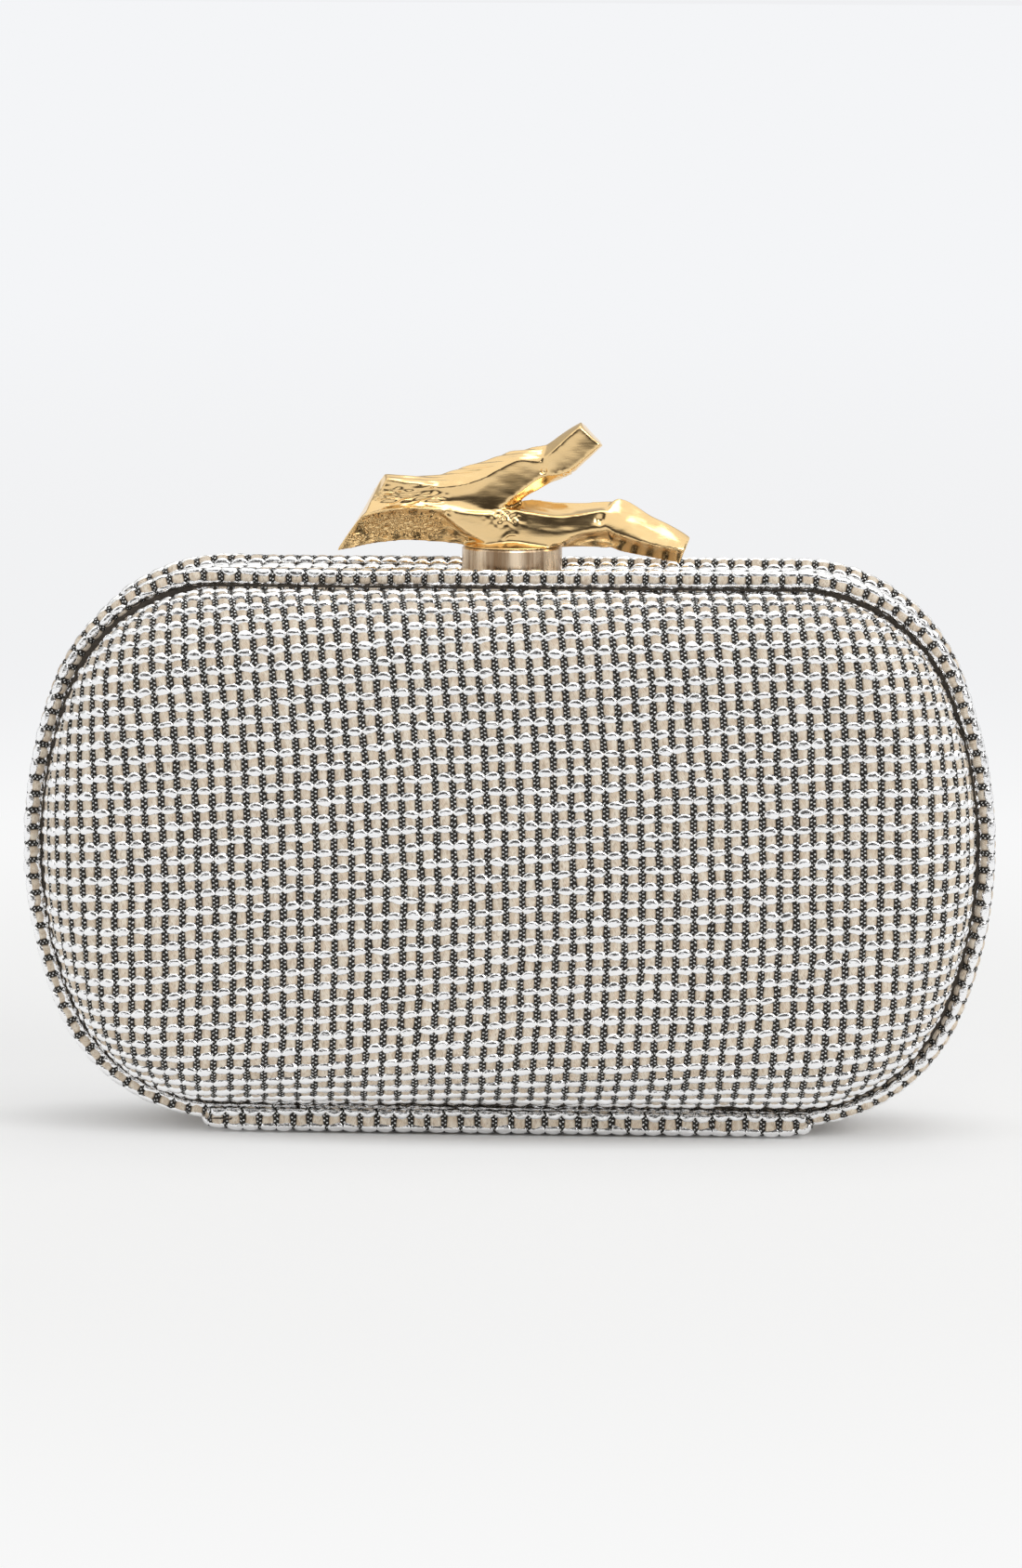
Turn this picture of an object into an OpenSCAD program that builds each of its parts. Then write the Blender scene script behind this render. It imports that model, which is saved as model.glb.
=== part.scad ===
// Hard box clutch: two padded shells hinged along the bottom, with a cast branch turn clasp on top.
// X runs along the bag, Y through its depth with the front at -Y, and Z up from the base strip.

/* [Bag] */
// Overall length over the piping
bag_w = 190; // [170:1:220]
// Height of the piping loop
bag_h = 109; // [96:1:125]
// Radius of the bowed ends
side_r = 88; // [76:1:110]
// Radius of the four corners
corner_r = 35; // [31:0.5:40]
// Depth from the seam to the middle of the piping
band_half_d = 11.5; // [10.8:0.1:14]
// Gap between the two halves when shut
seam_gap = 0.3; // [0.2:0.05:0.5]

/* [Domed panels] */
// Depth of the rounded edge of a panel
dome_d = 14.5; // [11:0.5:18]
// Width of the rounded edge, measured in from the groove
dome_w = 17; // [14:0.5:20]
// Extra swell of the panel at its middle
crown = 2; // [1:0.1:4]
// Thickness of the padded fabric cover
panel_t = 1.7; // [1.2:0.1:2.2]
// Wall of the moulded dome
dome_t = 1.4; // [1.1:0.1:1.8]
// Thickness of the linings
lining_t = 0.5; // [0.3:0.05:0.7]

/* [Piping and band] */
// Diameter of the fabric-wrapped piping
piping_d = 3.1; // [2.6:0.1:3.6]
// Diameter of the cord inside the piping
piping_cord_d = 1.6; // [1.2:0.1:1.9]
// Height of the piping above the band
piping_stand = 1; // [0.6:0.1:1.3]
// Width of the groove between piping and panel
groove_w = 0.6; // [0.4:0.1:1]
// Thickness of the tab that clamps the piping
piping_tab_t = 0.6; // [0.4:0.1:0.8]
// Thickness of the fabric on the band and base strip
fabric_t = 0.8; // [0.5:0.1:1]
// Wall of the metal frame
frame_t = 1.8; // [1.5:0.1:2.2]
// Thickness of the frame's rim at the seam
rim_t = 1.2; // [0.9:0.1:1.5]
// Thickness of the frame's flange behind the panel
flange_t = 1.9; // [1.5:0.1:2.3]
// Depth of the frame's flanges below its wall
flange_w = 3.5; // [3.1:0.1:4.2]
// Reach of the rear frame's locating tongue into the front half
tongue_reach = 1; // [0.7:0.1:1.3]
// Wall of the locating tongue
tongue_t = 0.65; // [0.5:0.05:0.8]

/* [Hinge] */
// Diameter of the hinge pin
pin_d = 1.2; // [0.9:0.1:1.4]
// Outer diameter of the hinge knuckles
knuckle_d = 2.5; // [2.2:0.1:2.6]
// Length of the whole hinge
hinge_l = 104; // [84:1:108]
// Number of knuckles, an odd number
knuckle_count = 13; // [9:2:17]
// Gap between two knuckles
knuckle_gap = 0.2; // [0.1:0.05:0.4]
// Thickness of the hinge leaves
leaf_t = 0.8; // [0.7:0.1:1]
// Width of a hinge leaf, out from the pin
leaf_w = 9; // [8:0.1:9.2]
// Diameter of the hinge rivets
rivet_d = 2; // [1.6:0.1:2.4]
// Number of rivets in each leaf
rivet_count = 5; // [3:1:7]

/* [Base strip] */
// Length of the fabric-covered base strip
strip_l = 120; // [110:1:126]
// Thickness of the stiffened strip
strip_t = 1.5; // [1.2:0.1:1.8]
// Half width of the soft fold over the hinge
fold_half_w = 1.75; // [1.7:0.05:2]
// Thickness of the soft fold
fold_t = 0.5; // [0.3:0.05:0.55]
// Rounding of the strip's lower edges
strip_edge_r = 1.2; // [0.8:0.1:1.5]
// Height of the strip's turned-up edge
strip_edge_h = 4.6; // [4:0.1:5.2]

/* [Clasp] */
// Height of the round boss under the branch
boss_h = 4.4; // [4.2:0.1:6]
// Bevel of the boss's top edge
boss_bevel = 0.3; // [0.1:0.05:0.6]
// Diameter of the clasp spindle
spindle_d = 4; // [3.6:0.1:4.4]
// Side of the spindle's square
square_w = 2.6; // [2.2:0.1:2.8]
// Diameter of the spindle's threaded end
thread_d = 2.2; // [1.8:0.1:2.5]
// Width of the bracket's neck
neck_w = 12; // [11.4:0.1:12.6]
// Reach of the bracket's neck into the front half
neck_front = 6.8; // [6.5:0.1:7]
// Reach of the bracket's neck into the rear half
neck_rear = 4.3; // [3.8:0.1:4.5]
// Width of the bracket's plate
plate_w = 26; // [24:0.5:32]
// Thickness of the bracket's plate
plate_t = 1.1; // [0.8:0.1:1.4]
// Thickness of the latch cam
cam_t = 1.9; // [1.6:0.1:2.2]
// Thickness of the cam's arm below the keeper
cam_arm_t = 0.9; // [0.7:0.1:1.1]
// Width of the cam's arm
cam_arm_w = 3.5; // [3:0.1:4]
// Reach of the latch cam from the spindle
cam_reach = 9.5; // [9.3:0.1:10.2]
// Thickness of the cam's nose
cam_nose_t = 2.3; // [2:0.1:2.5]
// Width of the keeper's sprung lip
lip_w = 3.6; // [3:0.1:4]
// Thickness of the keeper's sprung lip
lip_t = 0.8; // [0.6:0.1:1]
// Width of the keeper's plate
keeper_w = 18; // [17:0.5:22]
// Diameter of the clasp and keeper screws
screw_d = 1.8; // [1.4:0.1:2]

/* [Branch] */
// Length of the cast branch
twig_l = 70; // [62:1:80]
// Height of the cast branch above the boss
twig_h = 24.6; // [22:0.1:29]
// Thickness of the branch, front to back, at the boss
twig_t = 14; // [12:0.5:16]

/* [Pocket] */
// Width of the slip pocket
pocket_w = 100; // [80:1:106]
// Height of the slip pocket
pocket_h = 46; // [36:1:50]
// Thickness of the slip pocket's doubled cloth
pocket_t = 1; // [0.6:0.1:1.4]
// Width of the hem along the pocket's mouth
hem_w = 4; // [2.5:0.5:6]
// Extra thickness of the hem
hem_t = 0.6; // [0.3:0.1:0.9]

/* [Hidden] */
$fn = 48;

// Colours of the materials
tweed = [0.80, 0.77, 0.71];
polished_gold = [0.89, 0.66, 0.30];
brushed_gold = [0.78, 0.60, 0.42];
satin = [0.30, 0.27, 0.25];
plastic = [0.24, 0.24, 0.25];
cotton = [0.85, 0.82, 0.75];
steel = [0.70, 0.70, 0.72];

// Gap left between two layers or pieces that are glued or seated
seat_gap = 0.1;
// Gap round a piece that slides or turns past another
pass_gap = 0.5;
// Radial clearance of a pin or spindle in its bore
run_gap = 0.03;
// Overrun of a cut past the face that it opens
overrun = 1;

// The outline: straight top and bottom, four corner arcs and two bowed ends, all tangent.
half_w = bag_w / 2;
half_h = bag_h / 2;
bow_angle = asin((half_h - corner_r) / (side_r - corner_r));
side_x = half_w - side_r;
corner_x = side_x + (side_r - corner_r) * cos(bow_angle);
corner_y = half_h - corner_r;

// Places across the section, as insets from the outline
piping_r = piping_d / 2;
cover_in = piping_stand;
frame_in = cover_in + fabric_t + seat_gap;
wall_in = frame_in + frame_t;
flange_out = piping_d + 2 * seat_gap;
flange_in = wall_in + flange_w;
tongue_in = flange_in + seat_gap + run_gap;
rear_rim_in = tongue_in + tongue_t;
panel_in = piping_d + groove_w;
lining_in = flange_in + 2 * seat_gap;

// Places through the depth, measured from the seam
seam_y = seam_gap / 2;
rim_y = seam_y + rim_t;
wall_y = band_half_d - piping_r - 2 * seat_gap;
flange_y = band_half_d - piping_tab_t / 2 - seat_gap;
channel_y = flange_y - flange_t;
dome_base = band_half_d + piping_tab_t / 2 + seat_gap;
lining_y = rim_y + 2 * seat_gap;

// Heights above the surface that the bag stands on
leaf_z = strip_t + 2 * fold_t;
cover_z = leaf_z + leaf_t + seat_gap;
base_z = cover_z - cover_in;
mid_z = base_z + half_h;
top_z = base_z + bag_h;
piping_z = base_z + piping_r;
pin_z = leaf_z + leaf_t - 1.5 * seat_gap - knuckle_d / 2;

// Steps round the outline, angles up a dome's rounded edge, and rings inside it
corner_steps = 7;
bow_steps = 6;
piping_steps = 8;
tunnel_steps = 5;
dome_straight_steps = 5;
dome_angles = [0, 18, 36, 54, 72, 90];
ring_shares = [0.66, 0.33];

// Insets of the layers of a dome from its cover's outer face
dome_layer = panel_t + seat_gap;
lining_layer = dome_layer + dome_t + seat_gap;

// Clasp heights, from the top of the band down
cover_top = top_z - cover_in;
wall_under = top_z - wall_in;
boss_z = cover_top + seat_gap;
boss_top = boss_z + boss_h;
boss_r = band_half_d - piping_r - seat_gap - run_gap;
neck_z = top_z - rear_rim_in - seat_gap;
washer_t = 0.25;
washer_r = 3.8;
washer_bore_gap = 0.1;
cam_top = neck_z - washer_t - 2 * seat_gap;
cam_z = cam_top - cam_t;
cam_hub_r = 4;
nose_w = cam_arm_w + pass_gap;
nose_flat_share = 0.35;
nut_w = 5.2;
nut_t = 1.5;
nut_z = cam_z - seat_gap - nut_t;
thread_over = 0.4;

// Screws that hold the boss to the neck, and the bracket's plate to the frame
screw_head_d = 3.4;
screw_head_t = 1;
boss_screw_x = 4;
boss_screw_y = 4.5;
boss_screw_bite = 3;
plate_screw_x = plate_w / 2 - screw_head_d;
plate_screw_y = (rim_y + channel_y) / 2;
wall_bite = frame_t - seat_gap;
plate_top = wall_under - seat_gap;
plate_under = plate_top - plate_t;

// Keeper, behind whose sprung lip the cam's nose hooks
lip_back = cam_reach - cam_nose_t - 4 * seat_gap;
lip_y = lip_back - lip_t;
lip_z = cam_z + cam_arm_t + 3 * seat_gap;
keeper_t = 1;
keeper_under = plate_top - keeper_t;
keeper_screw_x = keeper_w / 2 - screw_head_d / 2 - seat_gap;
keeper_head_t = 0.8;
keeper_back = channel_y - seat_gap;
keeper_screw_y = keeper_back - screw_head_d / 2;
notch_half_w = neck_w / 2 + pass_gap;
notch_y = neck_rear + pass_gap;

// Hinge
knuckle_l = hinge_l / knuckle_count;
leaf_start = knuckle_d / 2 + 2.5 * seat_gap;
rivet_head_d = 3.6;
rivet_head_t = 0.5;
rivet_y = (leaf_start + leaf_w) / 2;
rivet_pitch = (hinge_l - 2 * rivet_head_d) / (rivet_count - 1);
wall_inner_z = base_z + wall_in;

// Sprung outer edge of the base strip, which wraps the piping
strip_out = band_half_d + piping_r + seat_gap + fabric_t;

// Slip pocket on the rear lining
pocket_gap = 0.3;
pocket_steps = 8;
pocket_rows = 6;
pocket_low_share = 0.72;
pocket_low = pocket_low_share * pocket_h;
lining_face = dome_base + dome_d - lining_layer - lining_t;
flat_inset = panel_in + dome_w;
flat_half_w = half_w - flat_inset;
flat_half_h = half_h - flat_inset;

// The branch: each row of a limb is its centre along the length and up, its half height and half
// thickness, its place front to back, and the tilt of its ring in degrees.
// The first two and the half height are shares of the length and height, the others of the thickness.
twig_sides = 14;
bark_share = 0.07;
bark_ridges = 3;
bark_turn = 50;
trunk_shares = [
    [-0.426, 0.254, 0.374, 0.27, 0.02, -33],
    [-0.385, 0.270, 0.325, 0.32, 0.02, -24],
    [-0.330, 0.297, 0.275, 0.38, 0.01, -12],
    [-0.243, 0.311, 0.265, 0.43, 0.00, 0],
    [-0.143, 0.323, 0.296, 0.47, 0.02, 6],
    [-0.060, 0.430, 0.262, 0.45, 0.06, 18],
    [0.014, 0.577, 0.187, 0.36, 0.08, 22],
    [0.087, 0.654, 0.158, 0.31, 0.08, 29],
    [0.150, 0.728, 0.150, 0.29, 0.07, 34],
    [0.226, 0.915, 0.125, 0.25, 0.06, 45]
];
branch_shares = [
    [-0.170, 0.230, 0.150, 0.28, -0.06, -14],
    [-0.090, 0.205, 0.180, 0.42, -0.08, -4],
    [0.020, 0.197, 0.178, 0.42, -0.10, 0],
    [0.090, 0.190, 0.168, 0.37, -0.10, 0],
    [0.160, 0.180, 0.168, 0.33, -0.09, 2],
    [0.229, 0.186, 0.184, 0.32, -0.08, 0],
    [0.300, 0.187, 0.199, 0.33, -0.07, -10],
    [0.361, 0.118, 0.187, 0.31, -0.05, -22],
    [0.429, 0.050, 0.155, 0.27, -0.03, -24],
    [0.495, -0.010, 0.106, 0.20, -0.01, -12]
];
seat_r = 5.6;
seat_t = 3;
seat_sides = 24;

// A box given by its limits along each axis
module span_box(x, y, z)
    translate([x[0], y[0], z[0]]) cube([x[1] - x[0], y[1] - y[0], z[1] - z[0]]);

// A cylinder that stands on the given height
module post(x, y, z, r, h)
    translate([x, y, z]) cylinder(r = r, h = h);

// Turns work drawn flat, with its depth along Z, to stand as the front half or the rear half
module front_half() translate([0, 0, mid_z]) rotate([90, 0, 0]) children();
module rear_half() mirror([0, 1, 0]) front_half() children();

// A flat ring between two insets of the outline, from one depth to another
module ring(outer, inner, from, to)
    translate([0, 0, from]) linear_extrude(to - from) difference() {
        polygon(outline_points(outer));
        polygon(outline_points(inner));
    }

// Carries a section round the outline. Each of its points is an inset and a depth from the seam.
module around_outline(section) {
    n = len(outline_points(0));
    m = len(section);
    polyhedron([for (q = section) for (p = outline_points(q[0])) [p[0], p[1], q[1]]],
        [for (k = [0:m - 1]) for (i = [0:n - 1])
            let (j = (i + 1) % n, here = k * n, next = (k + 1) % m * n)
            for (f = [[here + i, here + j, next + i], [here + j, next + j, next + i]]) f]);
}

// Points of an arc, its end point left to the next stretch
function arc_points(cx, cy, r, from, to, steps) =
    [for (i = [0:steps - 1]) let (a = from + (to - from) * i / steps) [cx + r * cos(a), cy + r * sin(a)]];

// Points of a straight stretch along X, its end point left to the next stretch
function line_points(from, to, y, steps) =
    [for (i = [0:steps - 1]) [from + (to - from) * i / steps, y]];

// The outline drawn in by an inset, as a list of points
function outline_points(inset, straight = 1) = let (
    b = side_r - inset, c = corner_r - inset, q = bow_angle
) concat(
    arc_points(side_x, 0, b, -q, q, bow_steps),
    arc_points(corner_x, corner_y, c, q, 90, corner_steps),
    line_points(corner_x, -corner_x, half_h - inset, straight),
    arc_points(-corner_x, corner_y, c, 90, 180 - q, corner_steps),
    arc_points(-side_x, 0, b, 180 - q, 180 + q, bow_steps),
    arc_points(-corner_x, -corner_y, c, 180 + q, 270, corner_steps),
    line_points(-corner_x, corner_x, inset - half_h, straight),
    arc_points(corner_x, -corner_y, c, 270, 360 - q, corner_steps)
);

// The outline with its straight stretches divided, as the domes use it
function dome_outline(inset) = outline_points(inset, dome_straight_steps);

// Points of one face of a dome: a quarter ellipse in from its edge, then a low crown to the middle
function dome_points(layer) = let (w = dome_w - layer, d = dome_d - layer, in = panel_in + layer) concat(
    [for (a = dome_angles) for (p = dome_outline(in + w * (1 - cos(a))))
        [p[0], p[1], dome_base + d * sin(a)]],
    [for (s = ring_shares) for (p = dome_outline(in + w))
        [s * p[0], s * p[1], dome_base + d + crown * (1 - s * s)]],
    [[0, 0, dome_base + d + crown]]
);

// A dome between two layers, as one closed shell
module dome_shell(layer, wall) {
    outer = dome_points(layer);
    inner = dome_points(layer + wall);
    n = len(dome_outline(0));
    rings = len(dome_angles) + len(ring_shares);
    count = len(outer);
    polyhedron(concat(outer, inner), concat(
        [for (k = [0:rings - 2]) for (i = [0:n - 1]) let (a = k * n + i, b = k * n + (i + 1) % n)
            for (f = [[a, a + n, b], [b, a + n, b + n]]) f],
        [for (i = [0:n - 1]) let (k = (rings - 1) * n) [k + i, count - 1, k + (i + 1) % n]],
        [for (k = [0:rings - 2]) for (i = [0:n - 1])
            let (a = count + k * n + i, b = count + k * n + (i + 1) % n)
            for (f = [[a, b, a + n], [b, b + n, a + n]]) f],
        [for (i = [0:n - 1]) let (k = count + (rings - 1) * n) [k + i, k + (i + 1) % n, 2 * count - 1]],
        [for (i = [0:n - 1]) let (j = (i + 1) % n)
            for (f = [[i, j, count + i], [j, count + j, count + i]]) f]
    ));
}

// The frame of one half: a rim at the seam, a wall, and a flange behind the panel
module frame_rings(rim_in) {
    ring(frame_in, rim_in, seam_y, rim_y);
    ring(frame_in, wall_in, rim_y, channel_y);
    ring(frame_in, flange_in, channel_y, wall_y);
    ring(flange_out, flange_in, wall_y, flange_y);
}

// Section of the piping's fabric: wrapped round its cord, with both edges laid together as a tab
function piping_section() = let (
    y = band_half_d, r = piping_r,
    tunnel = (piping_cord_d / 2 + seat_gap) / cos(180 / tunnel_steps),
    tab = piping_tab_t / 2, slit = seat_gap / 2, end = flange_in - fabric_t / 2,
    root = asin(tab / r), mouth = asin(slit / tunnel)
) concat(
    [[end, y + tab]],
    [for (i = [0:piping_steps]) let (a = root + (360 - 2 * root) * i / piping_steps)
        [r + r * cos(a), y + r * sin(a)]],
    [[end, y - tab], [end, y - slit]],
    [for (i = [0:tunnel_steps]) let (a = 360 - mouth - (360 - 2 * mouth) * i / tunnel_steps)
        [r + tunnel * cos(a), y + tunnel * sin(a)]],
    [[end, y + slit]]
);

// Section of the cord inside the piping
function cord_section() = [for (i = [0:tunnel_steps]) let (a = -360 * i / (tunnel_steps + 1))
    [piping_r + piping_cord_d / 2 * cos(a), band_half_d + piping_cord_d / 2 * sin(a)]];

// Room in the front half's band for the neck of the clasp
module neck_notch()
    span_box([-neck_w / 2 - seat_gap, neck_w / 2 + seat_gap], [-neck_front - seat_gap, overrun],
        [neck_z - pass_gap, top_z]);

// Room in the rear half's band, through which the neck passes as the bag opens
module passing_notch()
    span_box([-notch_half_w, notch_half_w], [-tongue_reach - overrun, notch_y], [neck_z - pass_gap, top_z]);

// Slot in a lining for the neck and the keeper's lip
module lining_slot(reach)
    span_box([-notch_half_w, notch_half_w], [-reach, reach], [neck_z - overrun, top_z]);

// Places along a hinge leaf's row of rivets
module at_rivets(side)
    for (i = [0:rivet_count - 1])
        translate([(i - (rivet_count - 1) / 2) * rivet_pitch, side * rivet_y, 0]) children();

// Holes for a row of hinge rivets, from the leaf to the inside of the frame
module rivet_holes(side)
    at_rivets(side)
        post(0, 0, leaf_z - overrun, rivet_d / 2 + run_gap, wall_inner_z - leaf_z + 2 * overrun);

// Places of the two screws of a plate under the band
module at_pair(x, y)
    for (side = [-1, 1]) translate([side * x, y, 0]) children();

module frame_holes(side) {
    rivet_holes(side);
    if (side < 0)
        at_pair(plate_screw_x, -plate_screw_y)
            post(0, 0, wall_under - overrun, screw_d / 2 + run_gap, overrun + frame_t);
    if (side > 0)
        at_pair(keeper_screw_x, keeper_screw_y)
            post(0, 0, wall_under - overrun, screw_d / 2 + run_gap, overrun + frame_t);
}

// Hinge leaf with every second knuckle, the first one or the second. The side is -1 at the front.
module hinge_leaf(side, first) {
    difference() {
        union() {
            span_box([-hinge_l / 2, hinge_l / 2], side > 0 ? [leaf_start, leaf_w] : [-leaf_w, -leaf_start],
                [leaf_z, leaf_z + leaf_t]);
            for (i = [first:2:knuckle_count - 1]) {
                x = i * knuckle_l - hinge_l / 2 + knuckle_gap / 2;
                length = knuckle_l - knuckle_gap;
                translate([x, 0, pin_z]) rotate([0, 90, 0]) cylinder(d = knuckle_d, h = length);
                span_box([x, x + length], side > 0 ? [0, leaf_start + overrun] : [-leaf_start - overrun, 0],
                    [leaf_z, leaf_z + leaf_t - 1.5 * seat_gap]);
            }
        }
        translate([-hinge_l / 2 - overrun, 0, pin_z]) rotate([0, 90, 0])
            cylinder(r = pin_d / 2 + run_gap, h = hinge_l + 2 * overrun);
        rivet_holes(side);
    }
}

// Rivets through the leaf, the band cover and the frame, with a flat head at each end
module hinge_rivets(side)
    at_rivets(side) {
        post(0, 0, leaf_z - rivet_head_t, rivet_head_d / 2, rivet_head_t - seat_gap / 2);
        post(0, 0, leaf_z - rivet_head_t, rivet_d / 2, wall_inner_z - leaf_z + rivet_head_t + seat_gap);
        post(0, 0, wall_inner_z + seat_gap / 2, rivet_head_d / 2, rivet_head_t);
    }

// Half of the base strip: a stiffened sole whose outer edge turns up round the piping
module base_strip()
    translate([-strip_l / 2, 0, 0]) rotate([90, 0, 90]) linear_extrude(strip_l)
        difference() {
            union() {
                translate([fold_half_w, 0]) square([strip_out - strip_edge_r - fold_half_w, strip_t]);
                translate([strip_out - strip_edge_r, strip_edge_r]) circle(strip_edge_r);
                translate([band_half_d, strip_edge_r])
                    square([strip_out - band_half_d, strip_edge_h - strip_edge_r]);
            }
            translate([band_half_d, piping_z]) circle(piping_r + seat_gap);
            translate([band_half_d - overrun, piping_z])
                square([piping_r + seat_gap + overrun, strip_edge_h]);
        }

// Screw with a round head below and its shank pointing up
module screw(z, length, head_t) {
    post(0, 0, z - head_t, screw_head_d / 2, head_t);
    post(0, 0, z - head_t, screw_d / 2, head_t + length);
}

// Ring of a limb of the branch, with shallow lengthwise ridges of bark
function limb_ring(s, k) = [for (i = [0:twig_sides - 1]) let (
    a = 360 * i / twig_sides,
    bark = 1 - bark_share * (1 - cos(bark_ridges * a + bark_turn * k)) / 2,
    up = s[2] * twig_h * cos(a) * bark
) [s[0] * twig_l - up * sin(s[5]), (s[4] + s[3] * sin(a) * bark) * twig_t, s[1] * twig_h + up * cos(s[5])]];

// Triangles that close a ring, laddered between its two sides
function cap_faces(n, first) = [for (i = [0:ceil(n / 2) - 2])
    for (f = [[i, i + 1, n - 1 - i], [i + 1, n - 2 - i, n - 1 - i]])
        if (f[0] != f[1]) [first + f[0], first + f[1], first + f[2]]];

// A closed solid through a row of rings, closed at both ends
module loft(rings) {
    n = len(rings[0]);
    last = len(rings) - 1;
    polyhedron([for (ring = rings) each ring], concat(
        cap_faces(n, 0),
        [for (f = cap_faces(n, last * n)) [f[0], f[2], f[1]]],
        [for (k = [0:last - 1]) for (i = [0:n - 1]) let (a = k * n + i, b = k * n + (i + 1) % n)
            for (f = [[a, a + n, b], [b, a + n, b + n]]) f]
    ));
}

// A limb of the branch, skinned from ring to ring
module limb(shares) {
    rings = [for (k = [0:len(shares) - 1]) limb_ring(shares[k], k)];
    for (k = [0:len(shares) - 2])
        hull() polyhedron(concat(rings[k], rings[k + 1]), [[for (i = [0:2 * twig_sides - 1]) i]]);
}

module front_panel() color(tweed) front_half() dome_shell(0, panel_t);
module rear_panel() color(tweed) rear_half() dome_shell(0, panel_t);

module front_dome() color(plastic) front_half() dome_shell(dome_layer, dome_t);
module rear_dome() color(plastic) rear_half() dome_shell(dome_layer, dome_t);

module front_dome_lining() color(satin) front_half() dome_shell(lining_layer, lining_t);
module rear_dome_lining() color(satin) rear_half() dome_shell(lining_layer, lining_t);

module front_frame() color(brushed_gold) difference() {
    front_half() frame_rings(flange_in);
    neck_notch();
    frame_holes(-1);
}

module rear_frame() color(brushed_gold) difference() {
    rear_half() {
        frame_rings(rear_rim_in);
        ring(tongue_in, rear_rim_in, -tongue_reach, seam_y);
    }
    passing_notch();
    frame_holes(1);
}

module front_band_cover() color(tweed) difference() {
    front_half() ring(cover_in, cover_in + fabric_t, seam_y, wall_y);
    neck_notch();
    rivet_holes(-1);
}

module rear_band_cover() color(tweed) difference() {
    rear_half() ring(cover_in, cover_in + fabric_t, seam_y, wall_y);
    passing_notch();
    rivet_holes(1);
}

module front_band_lining() color(satin) difference() {
    front_half() ring(lining_in, lining_in + lining_t, lining_y, dome_base - seat_gap);
    lining_slot(neck_front + pass_gap);
}

module rear_band_lining() color(satin) difference() {
    rear_half() ring(lining_in, lining_in + lining_t, lining_y, dome_base - seat_gap);
    lining_slot(lip_back + pass_gap);
}

module front_piping() color(tweed) front_half() around_outline(piping_section());
module rear_piping() color(tweed) rear_half() around_outline(piping_section());

module front_piping_cord() color(cotton) front_half() around_outline(cord_section());
module rear_piping_cord() color(cotton) rear_half() around_outline(cord_section());

module base_strip_front() color(tweed) mirror([0, 1, 0]) base_strip();
module base_strip_rear() color(tweed) base_strip();

module base_strip_fold() color(tweed)
    span_box([-strip_l / 2, strip_l / 2], [-fold_half_w + seat_gap, fold_half_w - seat_gap], [0, fold_t]);

module hinge_leaf_front() color(brushed_gold) hinge_leaf(-1, 1);
module hinge_leaf_rear() color(brushed_gold) hinge_leaf(1, 0);

module hinge_pin() color(steel)
    translate([-hinge_l / 2, 0, pin_z]) rotate([0, 90, 0]) cylinder(d = pin_d, h = hinge_l);

module hinge_rivets_front() color(brushed_gold) hinge_rivets(-1);
module hinge_rivets_rear() color(brushed_gold) hinge_rivets(1);

// Neck that carries the boss over the seam, and its plate under the front half's band
module clasp_bracket() color(brushed_gold) difference() {
    union() {
        span_box([-neck_w / 2, neck_w / 2], [-neck_front, neck_rear], [neck_z, cover_top]);
        span_box([-plate_w / 2, plate_w / 2], [seat_gap - channel_y, -rim_y - seat_gap],
            [plate_under, plate_top]);
    }
    post(0, 0, neck_z - overrun, spindle_d / 2 + run_gap, cover_top - neck_z + 2 * overrun);
    at_pair(boss_screw_x, -boss_screw_y)
        post(0, 0, neck_z - overrun, screw_d / 2 + run_gap, cover_top - neck_z + 2 * overrun);
    at_pair(plate_screw_x, -plate_screw_y)
        post(0, 0, plate_under - overrun, screw_d / 2 + run_gap, plate_t + 2 * overrun);
}

// Round boss over the seam, fixed to the front half
module clasp_boss() color(brushed_gold) translate([0, 0, boss_z]) difference() {
    rotate_extrude() polygon([
        [spindle_d / 2 + run_gap, 0], [boss_r, 0], [boss_r, boss_h - boss_bevel],
        [boss_r - boss_bevel, boss_h], [spindle_d / 2 + run_gap, boss_h]
    ]);
    at_pair(boss_screw_x, -boss_screw_y)
        post(0, 0, -overrun, screw_d / 2 + run_gap, overrun + boss_screw_bite + seat_gap);
}

module clasp_screws() color(steel) {
    at_pair(boss_screw_x, -boss_screw_y)
        screw(neck_z - seat_gap, boss_z - neck_z + seat_gap + boss_screw_bite, screw_head_t);
    at_pair(plate_screw_x, -plate_screw_y)
        screw(plate_under - seat_gap, plate_t + 2 * seat_gap + wall_bite, screw_head_t);
}

// Spring keeper: a plate under the rear half's band, and the lip that bends as the nose snaps past
module keeper() color(steel) difference() {
    union() {
        span_box([-keeper_w / 2, keeper_w / 2], [lip_y, keeper_back], [keeper_under, plate_top]);
        span_box([-lip_w / 2, lip_w / 2], [lip_y, lip_back], [lip_z, plate_top]);
    }
    at_pair(keeper_screw_x, keeper_screw_y)
        post(0, 0, keeper_under - overrun, screw_d / 2 + run_gap, keeper_t + 2 * overrun);
}

module keeper_screws() color(steel)
    at_pair(keeper_screw_x, keeper_screw_y)
        screw(keeper_under - seat_gap, keeper_t + 2 * seat_gap + wall_bite, keeper_head_t);

// Depth of the pocket's back face, which follows the crown of the lining
function pocket_face(x, z) = lining_face - pocket_gap
    + crown * (1 - pow(x / flat_half_w, 2)) * (1 - pow(z / flat_half_h, 2));

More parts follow.
